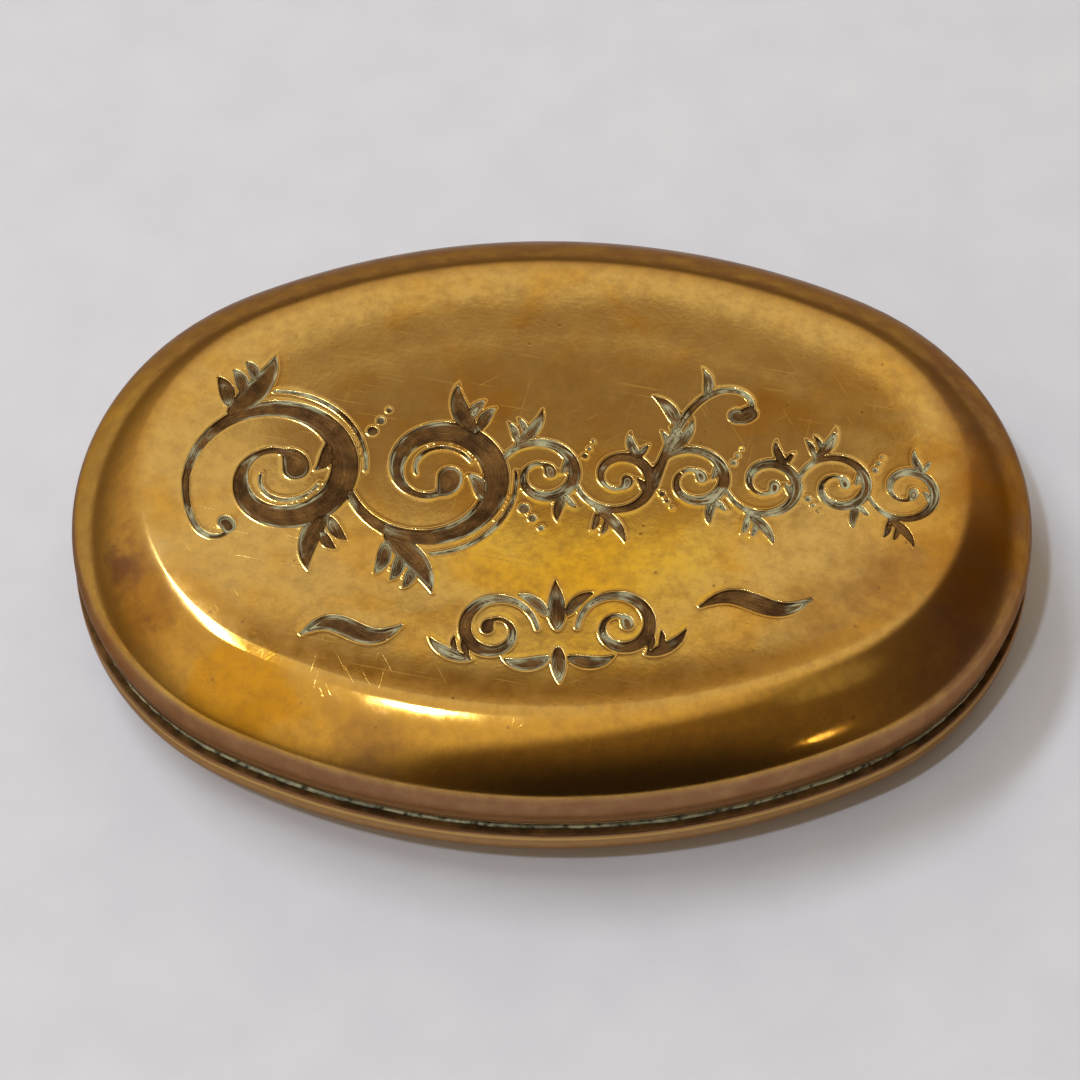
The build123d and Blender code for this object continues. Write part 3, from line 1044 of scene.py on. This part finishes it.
# Colour regions of the lid: what they go by (mm inside the outline, or metres along and across), where each starts
# and where it is full, and its share there
REGIONS = {
    "low": ("from_outline", 0.0, 0.8, 1.0),
    "high": ("from_outline", 7.9, 5.2, 1.0),
    "crease_out": ("from_outline", 6.4, 7.6, 1.0),
    "crease_in": ("from_outline", 10.5, 8.0, 1.0),
    # The film, painted brown as shade here, reaches over the ridge onto the lowest shoulder.
    "over_ridge": ("from_outline", 0.9, 0.3, 0.85),
    "back": ("across", -0.004, 0.020, 0.85),
    "front": ("across", -0.006, -0.012, 1.0),
    "right": ("along", 0.022, 0.036, 0.95),
    "left": ("along", -0.028, -0.038, 0.45),
}


def tarnish_shares(put, place, from_outline, wear_and_sheen):
    """How far the brass is amber, brown and orange, each 0 to 1, how far it wears a dull film, and its fine mottle.

    Hands rub the panel and the front left of the shoulder. The back and the two ends of the shoulder stay brown, and
    amber and orange stains lie where the metal was last wiped. In front, amber and some brown lie along the crease
    between shoulder and panel and just inside it, partly tarnish and partly painted shade. The film covers the walls
    below ridge and rim and the lowest shoulder; along the top of skirt and case wall and on that lowest shoulder it
    is painted brown as shade, and further down it is pale. Nothing is brown on the case's rubbed line below the rim,
    which is also a painted highlight.
    """
    blotch = put(NOISE, {"Vector": place, "Scale": per_mm(9.0), "Detail": 4.0, "Roughness": 0.55, "Distortion": 0.6})
    mottle = put(NOISE, {"Vector": place, "Scale": per_mm(2.2), "Detail": 5.0, "Roughness": 0.6})
    drift = put(NOISE, {"Vector": place, "Scale": per_mm(4.5), "Detail": 4.0, "Roughness": 0.6}, "Color")
    drift = put(VECTOR, {0: drift, 1: (0.5, 0.5, 0.5)}, operation="SUBTRACT")
    ragged = put(VECTOR, {0: drift, 1: (0.010, 0.010, 0.0), 2: place}, operation="MULTIPLY_ADD")
    ways = {
        "from_outline": from_outline,
        "along": put("ShaderNodeSeparateXYZ", {0: place}, 0),
        "across": put("ShaderNodeSeparateXYZ", {0: place}, 1),
    }
    at = SimpleNamespace()
    for name, (way, first, last, most) in REGIONS.items():
        setattr(at, name, put(SPREAD, {0: ways[way], 1: first, 2: last, 4: most}, **SMOOTH))
    shoulder = put(MATHS, {0: at.low, 1: at.high}, **TIMES)
    # Painted shade, partly tarnish: in front only, a band along the crease between shoulder and panel and just inside
    # it.
    crease = at.crease_out
    for share in (at.crease_in, at.front, 0.7):
        crease = put(MATHS, {0: crease, 1: share}, **TIMES)
    region = at.back
    for share in (at.right, at.left):
        region = put(MATHS, {0: region, 1: share}, **MOST)
    brown = put(MATHS, {0: region, 1: shoulder}, **TIMES)
    brown = stain(put, ragged, brown, BROWN_STAINS)
    crease_tarnish_and_shade = put(MATHS, {0: crease, 1: 0.4}, **TIMES)
    below = put(ATTRIBUTE, out="Fac", attribute_name="below_edge")
    film = put(SPREAD, {0: below, 1: 0.0, 2: 0.12, 4: 0.9}, **SMOOTH)
    film = put(MATHS, {0: film, 1: at.over_ridge}, **MOST)
    # Painted shade: brown where the film lies on the top of skirt and case wall and on the lowest shoulder, less
    # further down.
    fading = put(SPREAD, {0: below, 1: 0.25, 2: 1.0, 3: 1.1, 4: 0.05})
    shaded_top = put(MATHS, {0: film, 1: fading}, **TIMES)
    for share in (crease_tarnish_and_shade, shaded_top):
        brown = put(MATHS, {0: brown, 1: share}, **MOST)
    broken = put(SPREAD, {0: mottle, 1: 0.3, 2: 0.62, 3: 0.7, 4: 1.0})
    brown = put(MATHS, {0: brown, 1: broken}, use_clamp=True, **TIMES)
    free_of_wear_and_sheen = put(MATHS, {0: 1.0, 1: wear_and_sheen}, operation="SUBTRACT", use_clamp=True)
    brown = put(MATHS, {0: brown, 1: free_of_wear_and_sheen}, **TIMES)

    amber = put(SPREAD, {0: blotch, 1: 0.44, 2: 0.66, 4: 0.55}, **SMOOTH)
    thin = put(MATHS, {0: shoulder, 1: 0.7}, **TIMES)
    for share in (thin, crease):
        amber = put(MATHS, {0: amber, 1: share}, **MOST)
    amber = put(MATHS, {0: stain(put, ragged, amber, AMBER_STAINS), 1: 1.0}, **LEAST)
    orange = put(MATHS, {0: stain(put, ragged, 0.0, ORANGE_STAINS), 1: 1.0}, **LEAST)
    return amber, brown, orange, film, mottle


# Directions of the fine scratches: turn in degrees, width and length in millimetres, and the crest that shows
SCRATCHES = (
    (12, 0.09, 9.0, 0.74),
    (64, 0.07, 6.0, 0.76),
    (103, 0.08, 11.0, 0.75),
    (148, 0.06, 5.0, 0.76),
)


def hairline_scratches(put, place):
    """Fine scratches in four directions: stretched noise, kept near its crests. Drawn wider than real, to show."""
    scratches = 0.0
    for turn, wide, long_, least in SCRATCHES:
        spin = {"Vector": place, "Rotation": (0, 0, radians(turn)), "Location": (MM * turn, 0, 0)}
        scale = (per_mm(long_), per_mm(wide), per_mm(2.0))
        stretched = put(VECTOR, {0: put("ShaderNodeMapping", spin), 1: scale}, **TIMES)
        lines = put(NOISE, {"Vector": stretched, "Scale": 1.0, "Detail": 1.0})
        line = put(SPREAD, {0: lines, 1: least, 2: least + 0.06}, **SMOOTH)
        scratches = put(MATHS, {0: scratches, 1: line}, **MOST)
    return scratches


def polished_brass(finishes):
    """Sheet brass, raised and hand polished, over a century old.

    The eye gets a warm mirror, a little blurred and clouded with faint brown, with amber and brown tarnish where a
    thumb doesn't rub, brown painted as shade along the top of skirt and case wall and over the front crease, a rubbed
    line below the rim that is also a painted highlight, small dark pits, and in the engraved cuts dark oxide with
    pale dried polish that lies in streaks along them. The same dark oxide lies on the case's ledge and the lid's
    lower edge in the joint, partly as dirt and partly as painted shade.
    """
    name = "hand_polished_brass"
    if name in bpy.data.materials:
        return bpy.data.materials[name]
    material, put, place = new_material(name)
    cut_edge, cut_width, cut_along, inside, wear_and_sheen, from_outline = (
        put(ATTRIBUTE, out="Fac", attribute_name=value)
        for value in ("cut_edge", "cut_width", "cut_along", "inside", "wear_and_highlight", "from_outline")
    )
    amber, brown, orange, film, mottle = tarnish_shares(put, place, from_outline, wear_and_sheen)

    # Clouds of faint brown all over, and pits, a few together, with oxide in them
    clouds = put(NOISE, {"Vector": place, "Scale": per_mm(1.3), "Detail": 6.0, "Roughness": 0.7})
    clouds = put(SPREAD, {0: clouds, 1: 0.42, 2: 0.68, 4: 0.32})
    cells = put("ShaderNodeTexVoronoi", {"Vector": place, "Scale": per_mm(1.9)}, "Distance")
    pits = put(SPREAD, {0: cells, 1: 0.11, 2: 0.05}, **SMOOTH)
    areas = put(NOISE, {"Vector": place, "Scale": per_mm(4.0)})
    areas = put(SPREAD, {0: areas, 1: 0.52, 2: 0.6}, **SMOOTH)
    pits = put(MATHS, {0: pits, 1: areas}, **TIMES)

    # Cuts: streaks along the stroke, pale deposit in thin cuts and here and there along the foot of a wall
    in_cut = put(SPREAD, {0: cut_edge, 1: -0.02, 2: -0.1}, **SMOOTH)
    flat = put("ShaderNodeCombineXYZ", {0: cut_along, 1: cut_edge})
    stretched = put(VECTOR, {0: flat, 1: (0.45, 5.5, 1.0)}, **TIMES)
    streaks = put(NOISE, {"Vector": stretched, "Scale": 1.0, "Detail": 4.0, "Roughness": 0.6})
    crumbs = put(SPREAD, {0: streaks, 1: 0.42, 2: 0.58}, **SMOOTH)
    stretches = put(NOISE, {"Vector": place, "Scale": per_mm(3.2), "Detail": 1.0})
    stretches = put(SPREAD, {0: stretches, 1: 0.51, 2: 0.6}, **SMOOTH)
    foot = put(SPREAD, {0: cut_edge, 1: -0.5, 2: -0.2}, **SMOOTH)
    patches = put(NOISE, {"Vector": place, "Scale": per_mm(5.0), "Detail": 2.0})
    patches = put(SPREAD, {0: patches, 1: 0.48, 2: 0.6}, **SMOOTH)
    in_wide = put(MATHS, {0: foot, 1: patches}, **TIMES)
    in_thin = put(SPREAD, {0: cut_width, 1: 0.75, 2: 0.55, 4: 0.9}, **SMOOTH)
    in_thin = put(MATHS, {0: in_thin, 1: stretches}, **TIMES)
    pale = put(MATHS, {0: in_wide, 1: in_thin}, **MOST)
    for share in (crumbs, in_cut):
        pale = put(MATHS, {0: pale, 1: share}, **TIMES)
    lighter = put(SPREAD, {0: mottle, 1: 0.38, 2: 0.66})
    oxide = put(MIX, {0: lighter, 6: finishes.cut_floor, 7: finishes.cut_patch}, **COLOURS)

    # Colour: each layer over the ones before it, on bright brass
    bright, dull, shade = (
        put(MATHS, {0: share, 1: most}, **TIMES) for share, most in ((wear_and_sheen, 0.6), (inside, 0.85), (pits, 0.6))
    )
    base = finishes.brass
    for share, layer in (
        (amber, finishes.amber),
        (film, finishes.film),
        (clouds, finishes.brown),
        (brown, finishes.brown),
        (orange, finishes.orange),
        (bright, finishes.brass),
        (dull, finishes.inside),
        (shade, finishes.brown),
        (in_cut, oxide),
        (pale, finishes.verdigris),
    ):
        base = put(MIX, {0: share, 6: base, 7: layer}, **COLOURS)
    metal = put(SPREAD, {0: in_cut, 3: 1.0, 4: 0.7})
    bare = put(SPREAD, {0: pale, 3: 1.0, 4: 0.0})
    metal = put(MATHS, {0: metal, 1: bare}, **TIMES)

    # Roughness, from that of the polished metal, with more for whatever lies on it
    scratches = hairline_scratches(put, place)
    rough = put(SPREAD, {0: mottle, 1: 0.3, 2: 0.7, 3: 0.06, 4: 0.105})
    for share, amount in (
        (scratches, 0.06),
        (clouds, 0.13),
        (brown, 0.14),
        (film, 0.12),
        (wear_and_sheen, 0.2),
        (inside, 0.22),
        (in_cut, 0.34),
        (pale, 0.3),
    ):
        more = put(MATHS, {0: share, 1: amount}, **TIMES)
        rough = put(MATHS, {0: rough, 1: more}, operation="ADD", use_clamp=True)

    # Relief in millimetres: hand work, fine grain, scratches, pits, the graver's marks in the cuts, and their lip
    grain = put(NOISE, {"Vector": place, "Scale": per_mm(0.45), "Detail": 3.0, "Roughness": 0.6})
    waves = put(NOISE, {"Vector": place, "Scale": per_mm(11.0), "Detail": 2.0})
    marks = put(MATHS, {0: streaks, 1: in_cut}, **TIMES)
    lip = put(SPREAD, {0: cut_edge, 1: 0.13, 2: 0.04}, **SMOOTH)
    relief = 0.0
    for share, height in (
        (waves, 0.02),
        (grain, 0.0022),
        (scratches, -0.0008),
        (pits, -0.0015),
        (marks, 0.14),
        (lip, 0.012),
    ):
        part = put(MATHS, {0: share, 1: height}, **TIMES)
        relief = put(MATHS, {0: relief, 1: part}, operation="ADD")
    normal = put(BUMP, {"Height": relief, "Distance": MM, "Strength": 1.0})
    inputs = {"Base Color": base, "Metallic": metal, "Roughness": rough, "Normal": normal}
    inputs["Specular Tint"] = linear("#C0B2A8")
    inputs["Specular IOR Level"] = put(SPREAD, {0: in_cut, 3: 0.5, 4: 0.12})
    put(OUTPUT, {"Surface": put(PRINCIPLED, inputs)})
    return material


def satin_brass(finishes):
    """Brass strip, filed and left unpolished: dull, with brown patches and fine lines along it, bright at the top."""
    material, put, place = new_material("satin_filed_brass")
    stretched = put(VECTOR, {0: place, 1: (per_mm(3.0), per_mm(3.0), per_mm(0.1))}, **TIMES)
    lines = put(NOISE, {"Vector": stretched, "Scale": 1.0, "Detail": 2.0})
    patches = put(NOISE, {"Vector": place, "Scale": per_mm(3.0), "Detail": 5.0})
    wear_and_sheen = put(ATTRIBUTE, out="Fac", attribute_name="wear_and_highlight")
    share = put(SPREAD, {0: patches, 1: 0.38, 2: 0.62})
    base = put(MIX, {0: share, 6: finishes.inside, 7: finishes.brown}, **COLOURS)
    base = put(MIX, {0: wear_and_sheen, 6: base, 7: finishes.brass}, **COLOURS)
    rough = put(SPREAD, {0: patches, 1: 0.3, 2: 0.7, 3: 0.32, 4: 0.5})
    normal = put(BUMP, {"Height": lines, "Distance": 0.004 * MM, "Strength": 1.0})
    inputs = {"Base Color": base, "Metallic": 1.0, "Roughness": rough, "Normal": normal}
    put(OUTPUT, {"Surface": put(PRINCIPLED, inputs)})
    return material


def tarnished_brass(finishes):
    """Drawn brass tube and bar at the hinge: rubbed on the outside, brown in patches, with fine turning lines."""
    material, put, place = new_material("tarnished_hinge_brass")
    patches = put(NOISE, {"Vector": place, "Scale": per_mm(2.0), "Detail": 5.0})
    stretched = put(VECTOR, {0: place, 1: (per_mm(0.12), per_mm(4.0), per_mm(4.0))}, **TIMES)
    lines = put(NOISE, {"Vector": stretched, "Scale": 1.0, "Detail": 2.0})
    share = put(SPREAD, {0: patches, 1: 0.3, 2: 0.7, 3: 0.25, 4: 0.85})
    base = put(MIX, {0: share, 6: finishes.brass, 7: finishes.brown}, **COLOURS)
    rough = put(SPREAD, {0: patches, 1: 0.3, 2: 0.7, 3: 0.25, 4: 0.45})
    normal = put(BUMP, {"Height": lines, "Distance": 0.006 * MM, "Strength": 1.0})
    inputs = {"Base Color": base, "Metallic": 1.0, "Roughness": rough, "Normal": normal}
    put(OUTPUT, {"Surface": put(PRINCIPLED, inputs)})
    return material


def old_solder(finishes):
    """Tin-lead solder, wiped in and grown dull, with dried polish on it: grey-green, matt, with pale flecks."""
    material, put, place = new_material("aged_wiped_solder")
    flecks = put(NOISE, {"Vector": place, "Scale": per_mm(0.7), "Detail": 4.0})
    areas = put(NOISE, {"Vector": place, "Scale": per_mm(6.0), "Detail": 2.0})
    both = put(MATHS, {0: flecks, 1: areas}, **TIMES)
    pale = put(SPREAD, {0: both, 1: 0.22, 2: 0.32})
    dark = put(SPREAD, {0: flecks, 1: 0.46, 2: 0.36})
    base = put(MIX, {0: dark, 6: finishes.solder, 7: finishes.old_dirt}, **COLOURS)
    base = put(MIX, {0: pale, 6: base, 7: finishes.verdigris}, **COLOURS)
    metal = put(SPREAD, {0: pale, 3: 0.45, 4: 0.0})
    normal = put(BUMP, {"Height": flecks, "Distance": 0.05 * MM, "Strength": 1.0})
    inputs = {"Base Color": base, "Metallic": metal, "Roughness": 0.6, "Normal": normal}
    put(OUTPUT, {"Surface": put(PRINCIPLED, inputs)})
    return material


def drawn_wire(finishes):
    """Steel wire, drawn and long since dull: grey, with brown stains."""
    material, put, place = new_material("drawn_steel_wire")
    patches = put(NOISE, {"Vector": place, "Scale": per_mm(1.0), "Detail": 4.0})
    base = put(MIX, {0: patches, 6: finishes.wire, 7: finishes.wire_stain}, **COLOURS)
    rough = put(SPREAD, {0: patches, 1: 0.3, 2: 0.7, 3: 0.3, 4: 0.55})
    put(OUTPUT, {"Surface": put(PRINCIPLED, {"Base Color": base, "Metallic": 1.0, "Roughness": rough})})
    return material


def matt_paper(finishes):
    """Heavy uncoated paper: pale, matt, with a faint unevenness of tone."""
    material, put, place = new_material("uncoated_paper")
    tone = put(NOISE, {"Vector": place, "Scale": per_mm(7.0), "Detail": 4.0})
    share = put(SPREAD, {0: tone, 1: 0.35, 2: 0.65})
    base = put(MIX, {0: share, 6: finishes.floor, 7: finishes.floor_cloud}, **COLOURS)
    put(OUTPUT, {"Surface": put(PRINCIPLED, {"Base Color": base, "Roughness": 0.9, "Specular IOR Level": 0.2})})
    return material


# Stage


# Camera, worked out from the outlines of lid and case in the photograph (an image of 1080 x 1080 pixels)
IMAGE_PX = 1080.0
PIXELS_PER_MM = 11.175
LOOK_AT_PX = (551.8, 519.9)
VIEW_DISTANCE = 0.350
VIEW_ELEVATION = 57.6
VIEW_TURN = 0.57
SENSOR = 36.0


def add_camera(look_at):
    """Camera at the photograph's angle. The shift puts the point looked at where the photograph has it."""
    data = bpy.data.cameras.new("camera")
    data.sensor_width = SENSOR
    data.lens = SENSOR * PIXELS_PER_MM * VIEW_DISTANCE / MM / IMAGE_PX
    data.shift_x = (IMAGE_PX / 2 - LOOK_AT_PX[0]) / IMAGE_PX
    data.shift_y = (LOOK_AT_PX[1] - IMAGE_PX / 2) / IMAGE_PX
    data.clip_start = 0.01
    camera = bpy.data.objects.new("camera", data)
    tilt, turn = radians(VIEW_ELEVATION), radians(VIEW_TURN)
    back = Vector((sin(turn) * cos(tilt), -cos(turn) * cos(tilt), sin(tilt)))
    camera.location = look_at + back * VIEW_DISTANCE
    camera.rotation_euler = back.to_track_quat("Z", "Y").to_euler()
    bpy.context.scene.collection.objects.link(camera)
    bpy.context.scene.camera = camera


# Two daylight lamps, a long one at the left and a small one in front of it: direction, length and width, and power
LAMP_DISTANCE = 1.1
LAMP_COLOUR = "#DFEBFF"
LAMPS = {
    "key_lamp": ((-0.3715, 0.1654, 0.9135), (0.60, 0.13), 4.9),
    "front_lamp": ((-0.203, -0.352, 0.914), (0.04, 0.05), 3.225),
}


def add_lamp(name, towards, size, watts, look_at):
    """A rectangular area lamp that faces the box from a direction."""
    data = bpy.data.lights.new(name, "AREA")
    data.shape = "RECTANGLE"
    data.size, data.size_y = size
    data.energy = watts
    data.color = linear(LAMP_COLOUR)[:3]
    lamp = bpy.data.objects.new(name, data)
    direction = Vector(towards).normalized()
    lamp.location = look_at + direction * LAMP_DISTANCE
    lamp.rotation_euler = direction.to_track_quat("Z", "Y").to_euler()
    bpy.context.scene.collection.objects.link(lamp)


# Tone of the room near the floor and overhead, heights between which it changes, and strength
ROOM_LOW, ROOM_HIGH, ROOM_STRENGTH = "#988A78", "#FFEFD8", 0.70
ROOM_RISE = (0.02, 0.52)
# What stands in it: direction, squeeze along X, outer and inner reach in degrees, colour and brightness
IN_ROOM = (
    # Whoever looks at the box, in front to the right, and the darker middle of that
    ((0.492, -0.853, 0.174), 1.0, 55.0, 46.5, "#8E7962", 1.0),
    ((0.170, -0.963, 0.208), 1.0, 44.0, 1.0, "#322B30", 1.0),
    # Brown furniture at the right, with a lighter patch in front of it
    ((0.853, -0.150, 0.500), 1.0, 48.0, 26.0, "#816F5D", 1.0),
    ((0.481, -0.362, 0.799), 1.0, 9.0, 3.0, "#B5AA9B", 1.0),
    # Two narrow brown bands high behind, such as beams, and a warm glow between them
    ((0.008, 0.577, 0.817), 0.5, 4.0, 3.4, "#AA8F77", 1.0),
    ((-0.030, 0.426, 0.904), 0.27, 2.5, 1.8, "#907661", 1.0),
    ((0.006, 0.497, 0.868), 0.85, 2.6, 0.8, "#FFEF82", 1.2),
    # A small bulb in front to the right
    ((0.558, -0.740, 0.375), 1.0, 2.2, 1.4, "#FFE7C1", 4.5),
)


def add_world():
    """A pale room, with what the metal mirrors in it. Each thing is a lobe about a direction, squeezed along X."""
    world = bpy.data.worlds.new("pale_room")
    bpy.context.scene.world = world
    world.use_nodes = True
    world.node_tree.nodes.clear()
    put = partial(add, world.node_tree)
    place = put("ShaderNodeTexCoord", out="Generated")
    height = put("ShaderNodeSeparateXYZ", {0: place}, 2)
    share = put(SPREAD, {0: height, 1: ROOM_RISE[0], 2: ROOM_RISE[1]}, **SMOOTH)
    room = put(MIX, {0: share, 6: linear(ROOM_LOW), 7: linear(ROOM_HIGH)}, **COLOURS)
    for towards, squeeze, outer, inner, tone, bright in IN_ROOM:
        scale = (squeeze, 1.0, 1.0)
        aim = Vector([t * k for t, k in zip(towards, scale)]).normalized()
        squeezed = put(VECTOR, {0: place, 1: scale}, **TIMES)
        unit = put(VECTOR, {0: squeezed}, operation="NORMALIZE")
        facing = put(VECTOR, {0: unit, 1: aim}, "Value", operation="DOT_PRODUCT")
        share = put(SPREAD, {0: facing, 1: cos(radians(outer)), 2: cos(radians(inner))}, **SMOOTH)
        shade = [bright * part for part in linear(tone)[:3]] + [1.0]
        room = put(MIX, {0: share, 6: room, 7: shade}, **COLOURS)
    lit = put("ShaderNodeBackground", {"Color": room, "Strength": ROOM_STRENGTH})
    put("ShaderNodeOutputWorld", {"Surface": lit})


def build_stage(settings):
    """Pale paper floor, the room's light, the two lamps, and the camera."""
    look_at = Vector((0.0, 0.0, settings.box.ridge_height))
    reach, steps = 2.5, 41
    side = np.linspace(-reach, reach, steps) / MM
    x, y = np.meshgrid(side, side)
    points = np.stack([x, y, 0.0 * x], -1).reshape(-1, 3)
    grid = np.arange(steps * steps).reshape(steps, steps)
    quads = np.stack([grid[:-1, :-1], grid[:-1, 1:], grid[1:, 1:], grid[1:, :-1]], -1).reshape(-1, 4)
    floor = make_piece("paper_floor", points, quads.tolist(), {})
    floor.data.materials.append(matt_paper(settings.finishes))
    for name, (towards, size, watts) in LAMPS.items():
        add_lamp(name, towards, size, watts, look_at)
    add_world()
    add_camera(look_at)
    bpy.context.scene.view_settings.view_transform = "Standard"


# Add-on


class TobaccoBoxSettings(bpy.types.PropertyGroup):
    """Everything that a user may change."""

    box: PointerProperty(type=BoxSizes)
    hinge: PointerProperty(type=HingeSizes)
    engraving: PointerProperty(type=EngravingSizes)
    finishes: PointerProperty(type=Finishes)


class TOBACCOBOX_OT_lid(bpy.types.Operator):
    """Build the lid's sheet with its engraved ornament"""

    bl_idname = "tobacco_box.lid"
    bl_label = "Engraved Lid"

    def execute(self, context):
        build_lid(context.scene.tobacco_box)
        return {"FINISHED"}


class TOBACCOBOX_OT_case(bpy.types.Operator):
    """Build the case's sheet"""

    bl_idname = "tobacco_box.case"
    bl_label = "Case"

    def execute(self, context):
        build_case(context.scene.tobacco_box)
        return {"FINISHED"}


class TOBACCOBOX_OT_collar(bpy.types.Operator):
    """Build the inner collar and its solder"""

    bl_idname = "tobacco_box.collar"
    bl_label = "Collar and Solder"

    def execute(self, context):
        build_collar(context.scene.tobacco_box)
        return {"FINISHED"}


class TOBACCOBOX_OT_hinge(bpy.types.Operator):
    """Finish the hinge's bearers, knuckles and pin"""

    bl_idname = "tobacco_box.hinge"
    bl_label = "Hinge"

    def execute(self, context):
        build_hinge(context.scene.tobacco_box)
        return {"FINISHED"}


class TOBACCOBOX_OT_stage(bpy.types.Operator):
    """Set up floor, light and camera"""

    bl_idname = "tobacco_box.stage"
    bl_label = "Stage"

    def execute(self, context):
        build_stage(context.scene.tobacco_box)
        return {"FINISHED"}


OPERATORS = (TOBACCOBOX_OT_lid, TOBACCOBOX_OT_case, TOBACCOBOX_OT_collar, TOBACCOBOX_OT_hinge, TOBACCOBOX_OT_stage)


class TOBACCOBOX_PT_sidebar(bpy.types.Panel):
    """Buttons and sizes of the tobacco box"""

    bl_label = "Tobacco Box"
    bl_idname = "TOBACCOBOX_PT_sidebar"
    bl_space_type = "VIEW_3D"
    bl_region_type = "UI"
    bl_category = "Tobacco Box"

    def draw(self, context):
        settings = context.scene.tobacco_box
        for operator in OPERATORS:
            self.layout.operator(operator.bl_idname)
        for group in (settings.box, settings.hinge, settings.engraving, settings.finishes):
            column = self.layout.column(align=True)
            for prop in group.bl_rna.properties:
                if prop.identifier not in ("rna_type", "name"):
                    column.prop(group, prop.identifier)


GROUPS = (BoxSizes, HingeSizes, EngravingSizes, Finishes, TobaccoBoxSettings)
CLASSES = GROUPS + OPERATORS + (TOBACCOBOX_PT_sidebar,)


def register():
    """Registers the classes and hangs the settings on the scene."""
    for each in CLASSES:
        bpy.utils.register_class(each)
    bpy.types.Scene.tobacco_box = PointerProperty(type=TobaccoBoxSettings)


def unregister():
    """Undoes register."""
    del bpy.types.Scene.tobacco_box
    for each in reversed(CLASSES):
        bpy.utils.unregister_class(each)


def main():
    """Builds every piece and the stage."""
    register()
    bpy.ops.tobacco_box.lid()
    bpy.ops.tobacco_box.case()
    bpy.ops.tobacco_box.collar()
    bpy.ops.tobacco_box.hinge()
    bpy.ops.tobacco_box.stage()
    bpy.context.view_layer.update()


if __name__ == "__main__":
    main()
